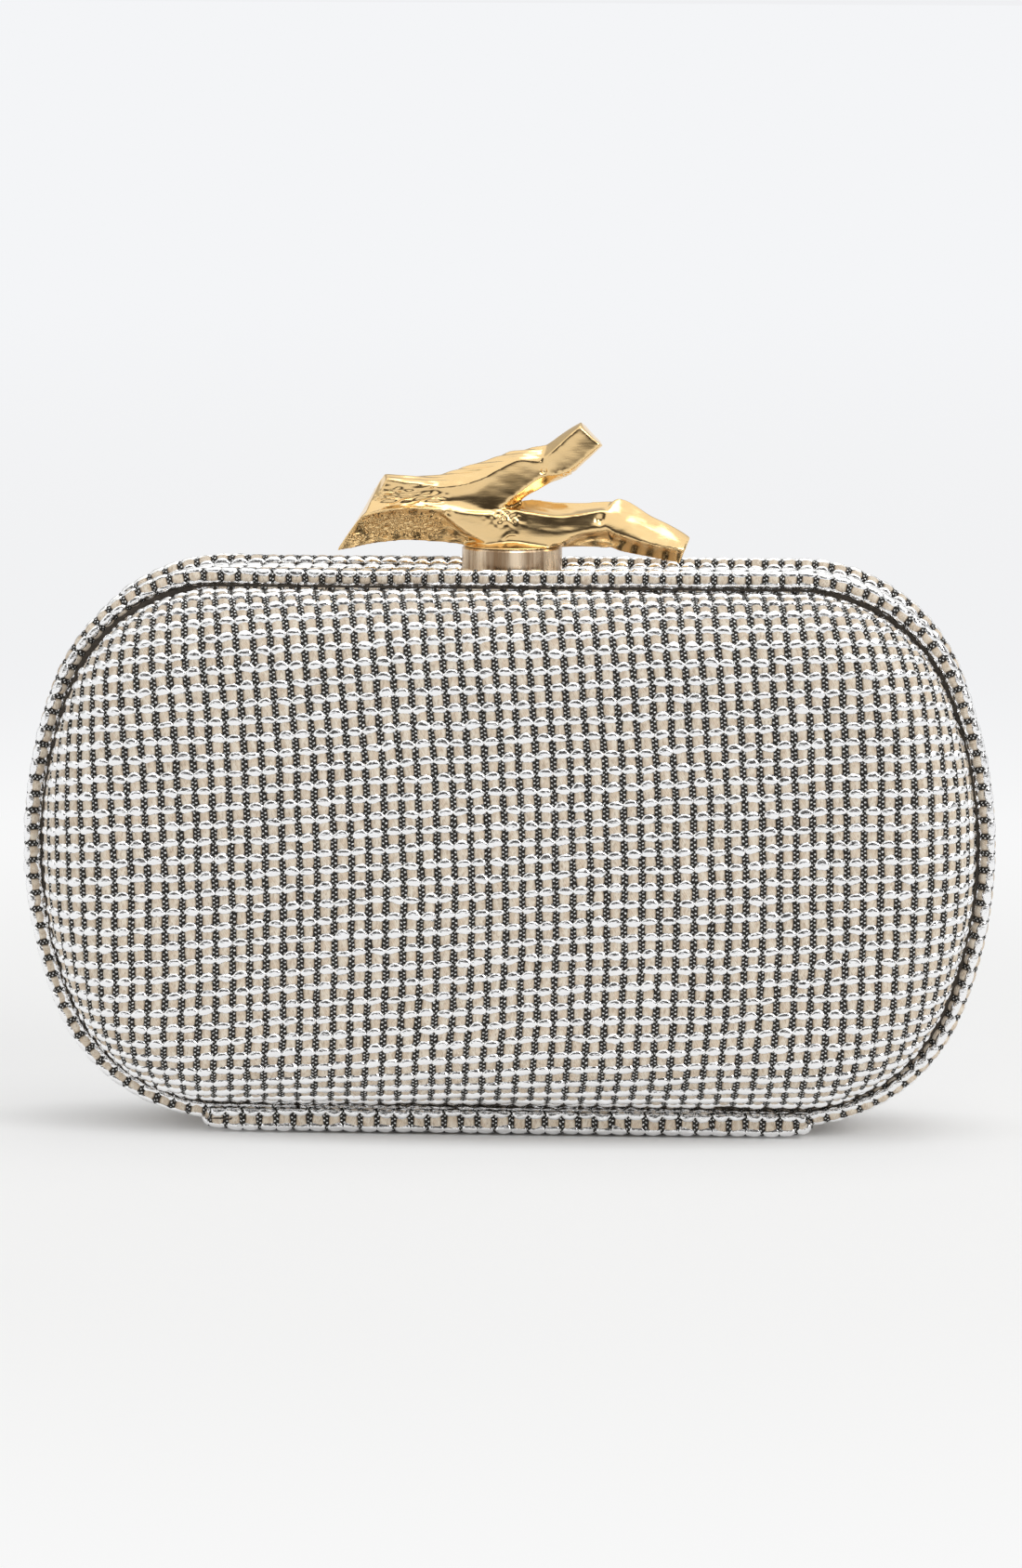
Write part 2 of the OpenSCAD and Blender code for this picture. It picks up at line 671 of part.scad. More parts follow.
// Section of the pocket at one place along the bag: up its back, over the hem and down its front
function pocket_section(x) = let (
    heights = [for (k = [0:pocket_rows]) k * (pocket_h - hem_w) / pocket_rows - pocket_low],
    mouth = pocket_h - pocket_low
) concat(
    [for (z = heights) [x, z, pocket_face(x, z)]],
    [for (f = [[mouth, 0], [mouth, pocket_t + hem_t], [mouth - hem_w, pocket_t + hem_t]])
        [x, f[0], pocket_face(x, f[0]) - f[1]]],
    [for (k = [0:pocket_rows]) let (z = heights[pocket_rows - k]) [x, z, pocket_face(x, z) - pocket_t]]
);

// Doubled cloth sewn to the rear lining, open along its hemmed top edge
module slip_pocket() color(satin) rear_half()
    loft([for (i = [0:pocket_steps]) pocket_section((i / pocket_steps - 1 / 2) * pocket_w)]);

// The cast branch: a trunk that climbs into one limb, a second limb, and a flat seat for the spindle
module twig() color(polished_gold) translate([0, 0, boss_top]) {
    limb(trunk_shares);
    limb(branch_shares);
    translate([0, 0, 2 * seat_gap]) cylinder(r = seat_r, h = seat_t, $fn = seat_sides);
}

// Spindle: round through the boss, square through the cam and threaded for the nut
module spindle() color(steel) {
    post(0, 0, cam_top, spindle_d / 2, boss_top - cam_top + seat_gap);
    span_box([-square_w / 2, square_w / 2], [-square_w / 2, square_w / 2], [cam_z, cam_top]);
    post(0, 0, nut_z - thread_over, thread_d / 2, cam_z - nut_z + thread_over);
}

// Cam: a hub on the spindle's square, and an arm that carries its nose behind the keeper's lip
module latch_cam() color(steel) difference() {
    union() {
        post(0, 0, cam_z, cam_hub_r, cam_t);
        span_box([-cam_arm_w / 2, cam_arm_w / 2], [0, cam_reach], [cam_z, cam_z + cam_arm_t]);
        translate([-nose_w / 2, 0, cam_z]) rotate([90, 0, 90]) linear_extrude(nose_w) polygon([
            [cam_reach - cam_nose_t, 0], [cam_reach, 0], [cam_reach, cam_arm_t],
            [cam_reach - cam_nose_t * (1 - nose_flat_share), cam_t], [cam_reach - cam_nose_t, cam_t]
        ]);
    }
    span_box([-square_w / 2 - seat_gap / 2, square_w / 2 + seat_gap / 2],
        [-square_w / 2 - seat_gap / 2, square_w / 2 + seat_gap / 2], [cam_z - overrun, cam_top + overrun]);
}

module spindle_nut() color(steel) translate([0, 0, nut_z]) difference() {
    cylinder(d = nut_w / cos(30), h = nut_t, $fn = 6);
    translate([0, 0, -overrun]) cylinder(r = thread_d / 2 + run_gap, h = nut_t + 2 * overrun);
}

module wave_washer() color(steel) translate([0, 0, cam_top + seat_gap]) difference() {
    cylinder(r = washer_r, h = washer_t);
    translate([0, 0, -overrun]) cylinder(r = spindle_d / 2 + washer_bore_gap, h = washer_t + 2 * overrun);
}

front_panel();
front_dome();
front_dome_lining();
front_frame();
front_band_cover();
front_band_lining();
front_piping();
front_piping_cord();
base_strip_front();
hinge_leaf_front();
hinge_rivets_front();
clasp_bracket();
clasp_boss();
clasp_screws();
rear_panel();
rear_dome();
rear_dome_lining();
rear_frame();
rear_band_cover();
rear_band_lining();
rear_piping();
rear_piping_cord();
base_strip_rear();
base_strip_fold();
hinge_leaf_rear();
hinge_pin();
hinge_rivets_rear();
keeper();
keeper_screws();
slip_pocket();
twig();
spindle();
latch_cam();
spindle_nut();
wave_washer();
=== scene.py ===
import math

import bpy
import numpy as np
from mathutils import Matrix, Vector


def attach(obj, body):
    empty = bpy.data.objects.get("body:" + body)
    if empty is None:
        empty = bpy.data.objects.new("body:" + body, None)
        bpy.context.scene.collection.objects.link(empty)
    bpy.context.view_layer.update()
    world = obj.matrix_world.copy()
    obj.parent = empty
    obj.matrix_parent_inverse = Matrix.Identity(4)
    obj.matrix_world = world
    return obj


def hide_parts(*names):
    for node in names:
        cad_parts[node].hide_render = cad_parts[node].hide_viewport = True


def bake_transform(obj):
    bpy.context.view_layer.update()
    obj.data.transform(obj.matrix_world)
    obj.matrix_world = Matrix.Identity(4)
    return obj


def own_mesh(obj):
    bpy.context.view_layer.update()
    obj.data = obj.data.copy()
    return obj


# The looks of a hard box clutch: metallic tweed woven yarn by yarn over two padded domes, their piping,
# the band between them and the base strip, with a cast branch clasp, gold fittings and a satin lining.
# Shapes are worked out in millimetres, with Z up, and become metres as each mesh is made.

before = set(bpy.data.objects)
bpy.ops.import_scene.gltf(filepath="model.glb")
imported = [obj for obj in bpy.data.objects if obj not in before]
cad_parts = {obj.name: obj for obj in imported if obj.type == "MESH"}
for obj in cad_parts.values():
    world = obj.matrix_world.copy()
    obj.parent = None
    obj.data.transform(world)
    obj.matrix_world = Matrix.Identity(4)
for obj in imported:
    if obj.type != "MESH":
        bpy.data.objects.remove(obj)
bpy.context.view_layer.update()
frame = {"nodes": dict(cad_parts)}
nodes = frame["nodes"]
MM = 0.001

# Sizes

# The outline, in millimetres as the solids have it: half its width and height, its ends bowed to SIDE_R
# and its corners rounded to CORNER_R, which meet at the angle BOW. MID_Z is the height of its middle.
HALF_W, HALF_H = 95.0, 54.5
SIDE_R, CORNER_R = 88.0, 35.0
BOW = math.asin((HALF_H - CORNER_R) / (SIDE_R - CORNER_R))
SIDE_X = HALF_W - SIDE_R
CORNER_X = SIDE_X + (SIDE_R - CORNER_R) * math.cos(BOW)
CORNER_Z = HALF_H - CORNER_R
MID_Z = 56.9

# The piping, the groove inside it, and the dome with its base, depth and rounded edge, as the solids have
# them. The crown is 0.3 more than theirs, because the ground of the cloth lies 0.35 below this face.
PIPING_Y, PIPING_R = 11.5, 1.55
GROOVE_IN = 3.7
DOME_BASE, DOME_D, DOME_W, CROWN = 11.9, 14.5, 17.0, 2.3
FLAT_IN = GROOVE_IN + DOME_W

# The weave's pitch, and the two halves with the way each one faces along y
PITCH = 3.3
HALVES = (("front", -1), ("rear", 1))


# Materials

class Value:
    """A socket that takes part in Python expressions, each of which adds its Math node."""

    def __init__(self, nodes, socket):
        self.nodes, self.socket = nodes, socket

    def math(self, operation, *inputs):
        return self.nodes.node("ShaderNodeMath", {"operation": operation}, dict(enumerate(inputs)))

    def __add__(self, other):
        return self.math("ADD", self, other)

    def __mul__(self, other):
        return self.math("MULTIPLY", self, other)

    def __sub__(self, other):
        return self.math("SUBTRACT", self, other)

    def __rsub__(self, other):
        return self.math("SUBTRACT", other, self)

    def __pow__(self, other):
        return self.math("POWER", self, other)

    __radd__ = __add__
    __rmul__ = __mul__

    def cos(self):
        return self.math("COSINE", self)

    def fract(self):
        return self.math("FRACT", self)

    def ramp(self, low, high, to_low=0.0, to_high=1.0):
        """Eases from to_low to to_high as the value goes from low to high."""
        return self.nodes.node("ShaderNodeMapRange", {"interpolation_type": "SMOOTHSTEP"},
                               {"Value": self, "From Min": low, "From Max": high,
                                "To Min": to_low, "To Max": to_high}, "Result")


class Nodes:
    """The nodes of a material or of the world. place is a point on the piece, yarn how far it lies across
    and along its yarn, and ray tells one kind of ray from the others."""

    def __init__(self, tree):
        self.tree = tree
        tree.nodes.clear()

    def node(self, kind, settings=None, inputs=None, output=0):
        """Adds a node, with its settings first. Returns one of its outputs, or the node if it has none."""
        made = self.tree.nodes.new(kind)
        for key, value in (settings or {}).items():
            setattr(made, key, value)
        for key, value in (inputs or {}).items():
            if isinstance(value, Value):
                self.tree.links.new(value.socket, made.inputs[key])
            else:
                made.inputs[key].default_value = value
        return Value(self, made.outputs[output]) if len(made.outputs) else made

    def place(self):
        return self.node("ShaderNodeTexCoord", output="Object")

    def yarn(self):
        return self.node("ShaderNodeUVMap", {"uv_map": "yarn"})

    def ray(self, kind):
        return self.node("ShaderNodeLightPath", output=f"Is {kind} Ray")

    def part(self, vector, axis):
        return self.node("ShaderNodeSeparateXYZ", inputs={0: vector}, output=axis)

    def stretched(self, vector, by):
        return self.node("ShaderNodeVectorMath", {"operation": "MULTIPLY"}, {0: vector, 1: by})

    def length(self, vector):
        return self.node("ShaderNodeVectorMath", {"operation": "LENGTH"}, {0: vector}, "Value")

    def noise(self, vector, scale, detail=2.0, roughness=0.5):
        return self.node("ShaderNodeTexNoise", None, {"Vector": vector, "Scale": scale, "Detail": detail,
                                                      "Roughness": roughness}, "Fac")

    def grain(self, scale, detail=2.0, roughness=0.5, by=(1.0, 1.0, 1.0)):
        """Noise over the piece's own place. It is drawn out along an axis where by is small."""
        return self.noise(self.stretched(self.place(), by), scale, detail, roughness)

    def mix(self, factor, first, second):
        """A colour between two, each one a link or three numbers."""
        first, second = (c if isinstance(c, Value) else (*c, 1.0) for c in (first, second))
        return self.node("ShaderNodeMix", {"data_type": "RGBA"}, {0: factor, 6: first, 7: second}, 2)

    def either(self, factor, first, second):
        """A surface between two."""
        return self.node("ShaderNodeMixShader", None, {0: factor, 1: first, 2: second})


class Finish(Nodes):
    """A material under construction. Its constants sit on the shader's own sockets."""

    def __init__(self, name, **constants):
        self.material = bpy.data.materials.new(name)
        self.material.use_nodes = True
        super().__init__(self.material.node_tree)
        inputs = {socket.replace("_", " "): value for socket, value in constants.items()}
        self.surface = self.node("ShaderNodeBsdfPrincipled", None, inputs)
        self.out = self.node("ShaderNodeOutputMaterial", None, {"Surface": self.surface})

    def put(self, **links):
        """Links values to the shader's sockets and returns the material."""
        sockets = self.surface.socket.node.inputs
        for socket, value in links.items():
            self.tree.links.new(value.socket, sockets[socket.replace("_", " ")])
        return self.material

    def bump(self, height, distance, strength=1.0):
        return self.node("ShaderNodeBump", None,
                         {"Height": height, "Distance": distance, "Strength": strength}, "Normal")

    def lined(self, tone, colours, lines, rough, depth, strength):
        """Two colours by tone. Fine lines set the roughness, between two values, and the bump."""
        return self.put(Base_Color=self.mix(tone, *colours), Roughness=lines.ramp(0.3, 0.7, *rough),
                        Normal=self.bump(lines, depth, strength))


def foil_finish():
    """Flat metal foil round a core thread: bright, lightly crumpled and a little duller in places."""
    f = Finish("silver_foil_weft", Metallic=1.0)
    crumple = f.grain(900.0, by=(1.0, 1.0, 1.6))
    return f.put(Base_Color=f.mix(f.grain(130.0, 1.0), (0.92, 0.92, 0.93), (1.0, 1.0, 1.0)),
                 Roughness=f.grain(900.0).ramp(0.3, 0.75, 0.07, 0.20),
                 Normal=f.bump(crumple, 0.00030, 0.6))


def beige_finish():
    """Soft unbleached yarn: fibres run along it with a slight twist, in two warm shades, with painted
    highlights along the twist and painted shade on its two sides."""
    f = Finish("beige_yarn", Roughness=0.85, Sheen_Weight=0.25, Sheen_Roughness=0.45,
               Specular_IOR_Level=0.3)
    across, along = f.part(f.yarn(), "X"), f.part(f.yarn(), "Y")
    twist = ((across * 5.0 + along * 4.0) * (2 * math.pi)).cos()
    tone = f.noise(f.stretched(f.yarn(), (1.0, 0.9, 1.0)), 1.7)
    fibre = f.grain(2600.0, by=(1.0, 1.0, 0.45))
    side = (across.fract() * 2.0 - 1.0) ** 2.0
    shade = f.mix(tone.ramp(0.35, 0.65), (0.74, 0.60, 0.45), (0.87, 0.77, 0.63))
    # Painted highlights: pale stripes along the twist.
    shade = f.mix(twist.ramp(0.4, 1.0) * 0.35, shade, (0.97, 0.95, 0.90))
    # Painted shade: darker towards both sides of the yarn.
    shade = f.mix(side.ramp(0.45, 0.95) * 0.75, shade, (0.34, 0.25, 0.16))
    return f.put(Base_Color=f.mix(fibre.ramp(0.45, 0.8) * 0.75, shade, (0.46, 0.35, 0.24)),
                 Normal=f.bump(twist * 0.25 + fibre, 0.00014, 0.8))


def black_finish():
    """Black yarn with a fine metallic thread wound round it, which shows as rows of bright dots: the
    product of a cosine along the yarn and one across it, patchy along its length."""
    f = Finish("black_yarn", Specular_IOR_Level=0.35)
    across, along = f.part(f.yarn(), "X"), f.part(f.yarn(), "Y")
    turns = ((along * 3.8 + f.noise(f.yarn(), 0.8, 1.0) * 1.6) * (2 * math.pi)).cos()
    sides = ((across.fract() * 1.14 - 0.32) * (2 * math.pi)).cos()
    patchy = f.noise(f.yarn(), 5.5, 1.0).ramp(0.35, 0.6, 0.45, 1.0)
    dots = (turns * sides).ramp(0.36, 0.62) * patchy
    fuzz = f.grain(3000.0)
    yarn = f.mix(fuzz, (0.006, 0.0055, 0.005), (0.030, 0.026, 0.022))
    return f.put(Base_Color=f.mix(dots, yarn, (0.92, 0.92, 0.90)), Metallic=dots * 0.5,
                 Roughness=dots.ramp(0.0, 1.0, 0.8, 0.4), Normal=f.bump(turns * 0.4 + fuzz, 0.00015, 0.8))


def ground_finish():
    """Ground cloth, dark with painted shade, seen only as dark lines between the yarns."""
    f = Finish("ground_cloth", Roughness=0.95, Specular_IOR_Level=0.2)
    grain = f.grain(1500.0)
    # Its dark colour is painted shade for the gaps between the yarns.
    return f.put(Base_Color=f.mix(grain, (0.05, 0.042, 0.035), (0.13, 0.11, 0.09)),
                 Normal=f.bump(grain, 0.0001))


def polished_gold_finish():
    """Bright yellow plate on a casting, with faint clouding where the polish is thinner."""
    f = Finish("polished_gold", Metallic=1.0)
    cloud = f.grain(140.0, 3.0)
    streaks = f.grain(1300.0, 3.0, 0.6, (0.22, 1.0, 1.0))
    return f.put(Base_Color=f.mix(cloud * 0.6 + streaks * 0.4, (0.84, 0.56, 0.24), (0.95, 0.71, 0.39)),
                 Roughness=(cloud + streaks * 0.6).ramp(0.55, 1.1, 0.08, 0.24),
                 Normal=f.bump(streaks, 0.00005, 0.5))


def brushed_gold_finish():
    """Satin plate, brushed along the length of the bag."""
    f = Finish("brushed_gold", Metallic=1.0)
    lines = f.grain(420.0, 3.0, 0.6, (1.0, 1.0, 14.0))
    return f.lined(lines, ((0.83, 0.62, 0.40), (0.92, 0.73, 0.52)), lines, (0.24, 0.36), 0.00003, 0.5)


def turned_boss_finish():
    """Satin plate on a turned disc, with painted reflections in light and dark upright stripes, and fine
    streaks between them.
    """
    f = Finish("turned_boss", Metallic=1.0)
    # Painted reflections: light and dark upright stripes of colour round the disc, mixed with the plate's
    # fine streaks.
    reflection_bands = f.grain(210.0, 1.0, by=(1.0, 1.0, 0.0))
    streaks = f.grain(1900.0, by=(1.0, 1.0, 0.04))
    tone = (reflection_bands * 0.8 + streaks * 0.2).ramp(0.36, 0.62)
    return f.lined(tone, ((0.27, 0.17, 0.095), (0.96, 0.78, 0.57)), streaks, (0.22, 0.34), 0.00003, 0.5)


def satin_finish():
    """Dark taupe satin: long floats along the bag give it a soft sheen."""
    f = Finish("satin_lining", Sheen_Weight=0.4, Sheen_Roughness=0.3, Specular_IOR_Level=0.6)
    floats = f.grain(5200.0, by=(0.12, 1.0, 1.0))
    wash = f.grain(55.0)
    return f.lined(wash, ((0.150, 0.124, 0.104), (0.205, 0.170, 0.142)), floats, (0.38, 0.55), 0.00003, 0.6)


def thread_finish():
    """Sewing thread, a shade lighter than the satin."""
    f = Finish("sewing_thread", Roughness=0.6)
    return f.put(Base_Color=f.mix(f.grain(4000.0, 1.0), (0.24, 0.20, 0.165), (0.33, 0.28, 0.235)))


def steel_finish():
    """Plain turned steel with fine tool lines."""
    f = Finish("plain_steel", Metallic=1.0)
    lines = f.grain(900.0, by=(1.0, 1.0, 9.0))
    return f.lined(lines, ((0.55, 0.55, 0.56), (0.70, 0.70, 0.71)), lines, (0.28, 0.42), 0.00003, 0.4)


def shell_finish():
    """Moulded shell with a fine matt grain."""
    f = Finish("moulded_shell", Specular_IOR_Level=0.4)
    grain = f.grain(1800.0)
    return f.lined(grain, ((0.045, 0.045, 0.048), (0.065, 0.065, 0.068)), grain, (0.5, 0.65), 0.00005, 0.5)


FOIL, BEIGE, BLACK, GROUND = foil_finish(), beige_finish(), black_finish(), ground_finish()
POLISHED, BRUSHED, TURNED = polished_gold_finish(), brushed_gold_finish(), turned_boss_finish()
SATIN, THREAD, STEEL, SHELL = satin_finish(), thread_finish(), steel_finish(), shell_finish()


# Meshes

def make_piece(name, points, quads, material, yarn=None, flat=False, caps=()):
    """A mesh object from rows of points in mm and rows of four corner numbers. yarn holds a pair of
    numbers per point, across and along the yarn. caps are closing faces with more corners."""
    mesh = bpy.data.meshes.new(name)
    points, quads = np.asarray(points, float).reshape(-1, 3), np.asarray(quads)
    loops = np.concatenate([quads.ravel(), *[np.asarray(c) for c in caps]]).astype(np.int32)
    sizes = np.concatenate([np.full(len(quads), 4), [len(c) for c in caps]]).astype(np.int32)
    mesh.vertices.add(len(points))
    mesh.vertices.foreach_set("co", (points * MM).astype(np.float32).ravel())
    mesh.loops.add(len(loops))
    mesh.loops.foreach_set("vertex_index", loops)
    mesh.polygons.add(len(sizes))
    mesh.polygons.foreach_set("loop_start", (np.cumsum(sizes) - sizes).astype(np.int32))
    mesh.polygons.foreach_set("loop_total", sizes)
    mesh.polygons.foreach_set("use_smooth", np.full(len(sizes), not flat))
    if yarn is not None:
        layer = mesh.uv_layers.new(name="yarn")
        layer.data.foreach_set("uv", np.asarray(yarn, np.float32).reshape(-1, 2)[loops].ravel())
    mesh.update()
    mesh.validate()
    mesh.materials.append(material)
    piece = bpy.data.objects.new(name, mesh)
    bpy.context.scene.collection.objects.link(piece)
    return piece


def grid_quads(strips, along, across, closed=False):
    """Corner numbers of the quads of several separate strips, each along × across quads. A closed strip
    is joined to its own first column."""
    wide = across if closed else across + 1
    i, j = np.meshgrid(np.arange(along), np.arange(across), indexing="ij")
    right = (j + 1) % wide if closed else j + 1
    corners = [i * wide + j, i * wide + right, (i + 1) * wide + right, (i + 1) * wide + j]
    start = np.arange(strips)[:, None, None] * (along + 1) * wide
    return (np.stack(corners, -1).reshape(-1, 4) + start).reshape(-1, 4)


def waves(u, v, seed, reach, count=6):
    """A smooth irregular value between about -1 and 1: 1.6 times the mean of sine waves in random
    directions, whose lengths are near reach."""
    rng = np.random.default_rng(seed)
    turn, phase = rng.uniform(0, 2 * np.pi, (2, count))
    length = reach * rng.uniform(0.7, 1.5, count)
    total = 0
    for way, start, long in zip(turn, phase, length):
        total = total + np.sin(2 * np.pi * (u * np.cos(way) + v * np.sin(way)) / long + start)
    return total / count * 1.6


def soft_step(value, low, high):
    """0 below low, 1 above high, and 3t² - 2t³ between them, where t is the share of the way."""
    t = np.clip((value - low) / (high - low), 0, 1)
    return t * t * (3 - 2 * t)


def facing_out(points, quads, away):
    """Turns the quads over if they face against away, the outward direction at each point."""
    p = points.reshape(-1, 3)[quads]
    normal = np.cross(p[:, 2] - p[:, 0], p[:, 3] - p[:, 1])
    against = (normal * away.reshape(-1, 3)[quads[:, 0]]).sum(1).mean() < 0
    return quads[:, ::-1] if against else quads


def capped_tube(rings, away):
    """Quads through rings of points, turned to face away, and the two faces that close the ends."""
    n, m = rings.shape[:2]
    quads = grid_quads(1, n - 1, m, closed=True)
    turned = facing_out(rings, quads, away)
    first, last = np.arange(m), np.arange((n - 1) * m, n * m)
    return turned, [first[::-1], last] if np.array_equal(turned, quads) else [first, last[::-1]]


def closed_sheet(face, back, away):
    """Points and quads of a thin closed sheet: two layers of one grid, of which the first faces away,
    and a rim of quads between their edges."""
    rows, columns = face.shape[:2]
    count = rows * columns
    number = np.arange(count).reshape(rows, columns)
    edge = np.concatenate([number[0, :-1], number[:-1, -1], number[-1, :0:-1], number[:0:-1, 0]])
    after = np.roll(edge, -1)
    layer = grid_quads(1, rows - 1, columns - 1)
    quads = np.concatenate([layer, layer[:, ::-1] + count,
                            np.stack([after, edge, edge + count, after + count], -1)])
    points = np.stack([face, back])
    away = np.broadcast_to(away, face.shape)
    return points, facing_out(points, quads, np.stack([away, -away]))


# The outline

def outline_table(steps=900):
    """The outline as rows of x, z, outward x and outward z, clockwise from the middle of the top: a
    straight top and bottom, four corner arcs and two bowed ends. Three quarters mirror the first."""
    quarter = []
    top = np.linspace(0, CORNER_X, steps, endpoint=False)
    quarter.append(np.stack([top, np.full(steps, HALF_H), np.zeros(steps), np.ones(steps)], -1))
    for cx, cz, r, start, end in ((CORNER_X, CORNER_Z, CORNER_R, math.pi / 2, BOW),
                                  (SIDE_X, 0, SIDE_R, BOW, 0)):
        a = np.linspace(start, end, steps, endpoint=False)
        quarter.append(np.stack([cx + r * np.cos(a), cz + r * np.sin(a), np.cos(a), np.sin(a)], -1))
    q = np.concatenate(quarter)
    end = np.array([[HALF_W, 0, 1, 0]])
    right = np.concatenate([q, end, q[:0:-1] * [1, -1, 1, -1]])
    return np.concatenate([right, [[0, -HALF_H, 0, -1]], right[:0:-1] * [-1, 1, -1, 1], right[:1]])


OUTLINE = outline_table()


def way_round(inset):
    """How far each row of the outline is from the first, along the outline drawn in by an inset."""
    step = np.hypot(*np.diff(OUTLINE[:, :2] - inset * OUTLINE[:, 2:], axis=0).T)
    return np.concatenate([[0], np.cumsum(step)])


def rim(share, inset):
    """x, z and the outward direction at a share of the way round, on the outline drawn in by inset.
    Distance is measured on the drawn-in outline, so that yarns keep their spacing there."""
    own = way_round(inset)
    s = (share % 1.0) * own[-1]
    x, z, nx, nz = (np.interp(s, own, OUTLINE[:, k]) for k in range(4))
    return x - inset * nx, z - inset * nz, nx, nz


def region(x, z):
    """How far inside the outline each point lies, and the outward direction of the arc or straight edge
    that it belongs to."""
    ax, az, sx, sz = np.abs(x), np.abs(z), np.where(x < 0, -1, 1), np.where(z < 0, -1, 1)
    side = az < (ax - SIDE_X) * math.tan(BOW)
    straight = ~side & (ax <= CORNER_X)
    cx = np.where(side, SIDE_X, np.where(straight, ax, CORNER_X))
    cz = np.where(side, 0.0, CORNER_Z)
    r = np.where(side, SIDE_R, CORNER_R)
    dx, dz = ax - cx, az - cz
    away = np.hypot(dx, dz)
    inset = np.where(straight & (dz < 0), HALF_H - az, r - away)
    away = np.where(away < 1e-6, 1, away)
    nx, nz = dx / away, np.where(straight, 1.0, dz / away)
    return inset, sx * nx, sz * nz


# The domes

# Arc lengths down the rounded edge, and the turn and reach of the flat part's edge from the middle
ANGLES = np.linspace(0, math.pi / 2, 200)
EDGE_STEPS = np.hypot(np.diff(DOME_W * np.sin(ANGLES)), np.diff(DOME_D * np.cos(ANGLES)))
EDGE_ARC = np.concatenate([[0], np.cumsum(EDGE_STEPS)])
FLAT_EDGE = OUTLINE[:, :2] - FLAT_IN * OUTLINE[:, 2:]
FLAT_TURN = np.unwrap(np.arctan2(FLAT_EDGE[:, 1], FLAT_EDGE[:, 0]))[::-1]
FLAT_REACH = np.hypot(FLAT_EDGE[:, 0], FLAT_EDGE[:, 1])[::-1]


def crown_height(x, z):
    """A low swell over the flat part: crown times (1 - g²) to the power 1.6, where g runs from 0 in the
    middle to 1 at its edge."""
    turn = np.arctan2(z, x)
    turn = np.where(turn < FLAT_TURN[0], turn + 2 * np.pi, turn)
    turn = np.where(turn > FLAT_TURN[-1], turn - 2 * np.pi, turn)
    g = np.clip(np.hypot(x, z) / np.interp(turn, FLAT_TURN, FLAT_REACH), 0, 1)
    return CROWN * (1 - g ** 2) ** 1.6


def dome_point(u, v, side):
    """The panel's face under a point of the cloth laid flat, at the front (-1) or the rear (1). Cloth
    over the flat part stays where it is. Beyond it, the cloth runs straight out and its length is
    laid down the quarter ellipse of the rounded edge."""
    inset, nx, nz = region(u, v)
    beyond = np.clip(FLAT_IN - inset, 0, EDGE_ARC[-1])
    t = np.interp(beyond, EDGE_ARC, ANGLES)
    out = inset - FLAT_IN + DOME_W * np.sin(t)
    move = np.where(inset < FLAT_IN, out, 0.0)
    x, z = u + nx * move, v + nz * move
    depth = DOME_BASE + DOME_D * np.cos(t) + crown_height(x, z)
    return np.stack([-side * x, side * depth, MID_Z + z], -1)


def dome_cloth(side):
    """Surface of a panel for the weaver: position and outward direction at (u, v). The direction is the
    cross product of the steps along u and v. The cloth sinks into the groove over its last 5 mm."""
    def surface(u, v):
        p, e = dome_point(u, v, side), 0.05
        du = dome_point(u + e, v, side) - dome_point(u - e, v, side)
        dv = dome_point(u, v + e, side) - dome_point(u, v - e, side)
        n = np.cross(dv, du) if side > 0 else np.cross(du, dv)
        n = n * np.where(n[..., 1] * side < 0, -1, 1)[..., None]
        n = n / np.maximum(np.linalg.norm(n, axis=-1), 1e-9)[..., None]
        sink = soft_step(FLAT_IN - region(u, v)[0], EDGE_ARC[-1] - 5.0, EDGE_ARC[-1])
        return p - (0.35 + 0.75 * sink)[..., None] * n, n
    return surface


# Weaving

# Each yarn is a strip of quads on a grid of strips, steps along it and places across it. Columns and rows
# are counted in pitches, A goes from -1 to 1 across a strip, and H is how far it stands out in millimetres,
# mostly a half round in A. The functions return the grids of columns, rows and H, and the yarn's own map.

# Quads across a warp, and steps along it from row to row
WARP_WIDE, WARP_STEPS = 4, 6


def beige_warps(columns, rows, rng):
    """Beige warps: a flattened round yarn that swells between the rows, as a half ellipse along it, and is
    pinched under each weft."""
    j = np.arange(*columns)
    V = np.linspace(*rows, (rows[1] - rows[0]) * WARP_STEPS + 1)
    y = (V - 0.06) % 1.0 - 0.5
    swell = np.sqrt(np.clip(1 - (y / 0.47) ** 2, 0, 1))
    size = 1 + 0.12 * rng.standard_normal((len(j), len(V)))
    size = (size + np.roll(size, 1, 1) + np.roll(size, -1, 1)) / 3
    J, V, A = np.meshgrid(j, V, np.linspace(-1, 1, WARP_WIDE + 1), indexing="ij")
    half = (0.245 + 0.075 * swell)[None, :, None] * size[..., None]
    H = 0.02 + (0.16 + 0.38 * swell[None, :, None] * size[..., None]) * np.sqrt(1 - (0.97 * A) ** 2)
    return J + 0.5 + A * half, V, H, A * 0.5 + 0.5 + J, V


def black_warps(columns, rows, seed, dark, closed):
    """Black warps: a thinner yarn, dark times as wide as usual, which goes over one foil row and under the
    next, so its height follows a cosine, and which sways a little. A closed cloth has no last one."""
    j = np.arange(columns[0], columns[1] + (0 if closed else 1))
    V = np.linspace(*rows, (rows[1] - rows[0]) * WARP_STEPS + 1)
    J, V, A = np.meshgrid(j, V, np.linspace(-1, 1, WARP_WIDE + 1), indexing="ij")
    sway = 0.03 * waves(V, J * 7.3, seed + 1, 3.1)
    at_row = np.exp(-(((V + 0.5) % 1 - 0.5) / 0.2) ** 2)
    under = np.cos(np.pi * (np.round(V) + J))
    half = (0.225 - 0.088 * at_row) * dark
    H = (0.44 - at_row * (0.02 + 0.17 * under)) * np.sqrt(1 - (0.97 * A) ** 2)
    return J + sway + A * half, V, H, A * 0.5 + 0.5 + J, V


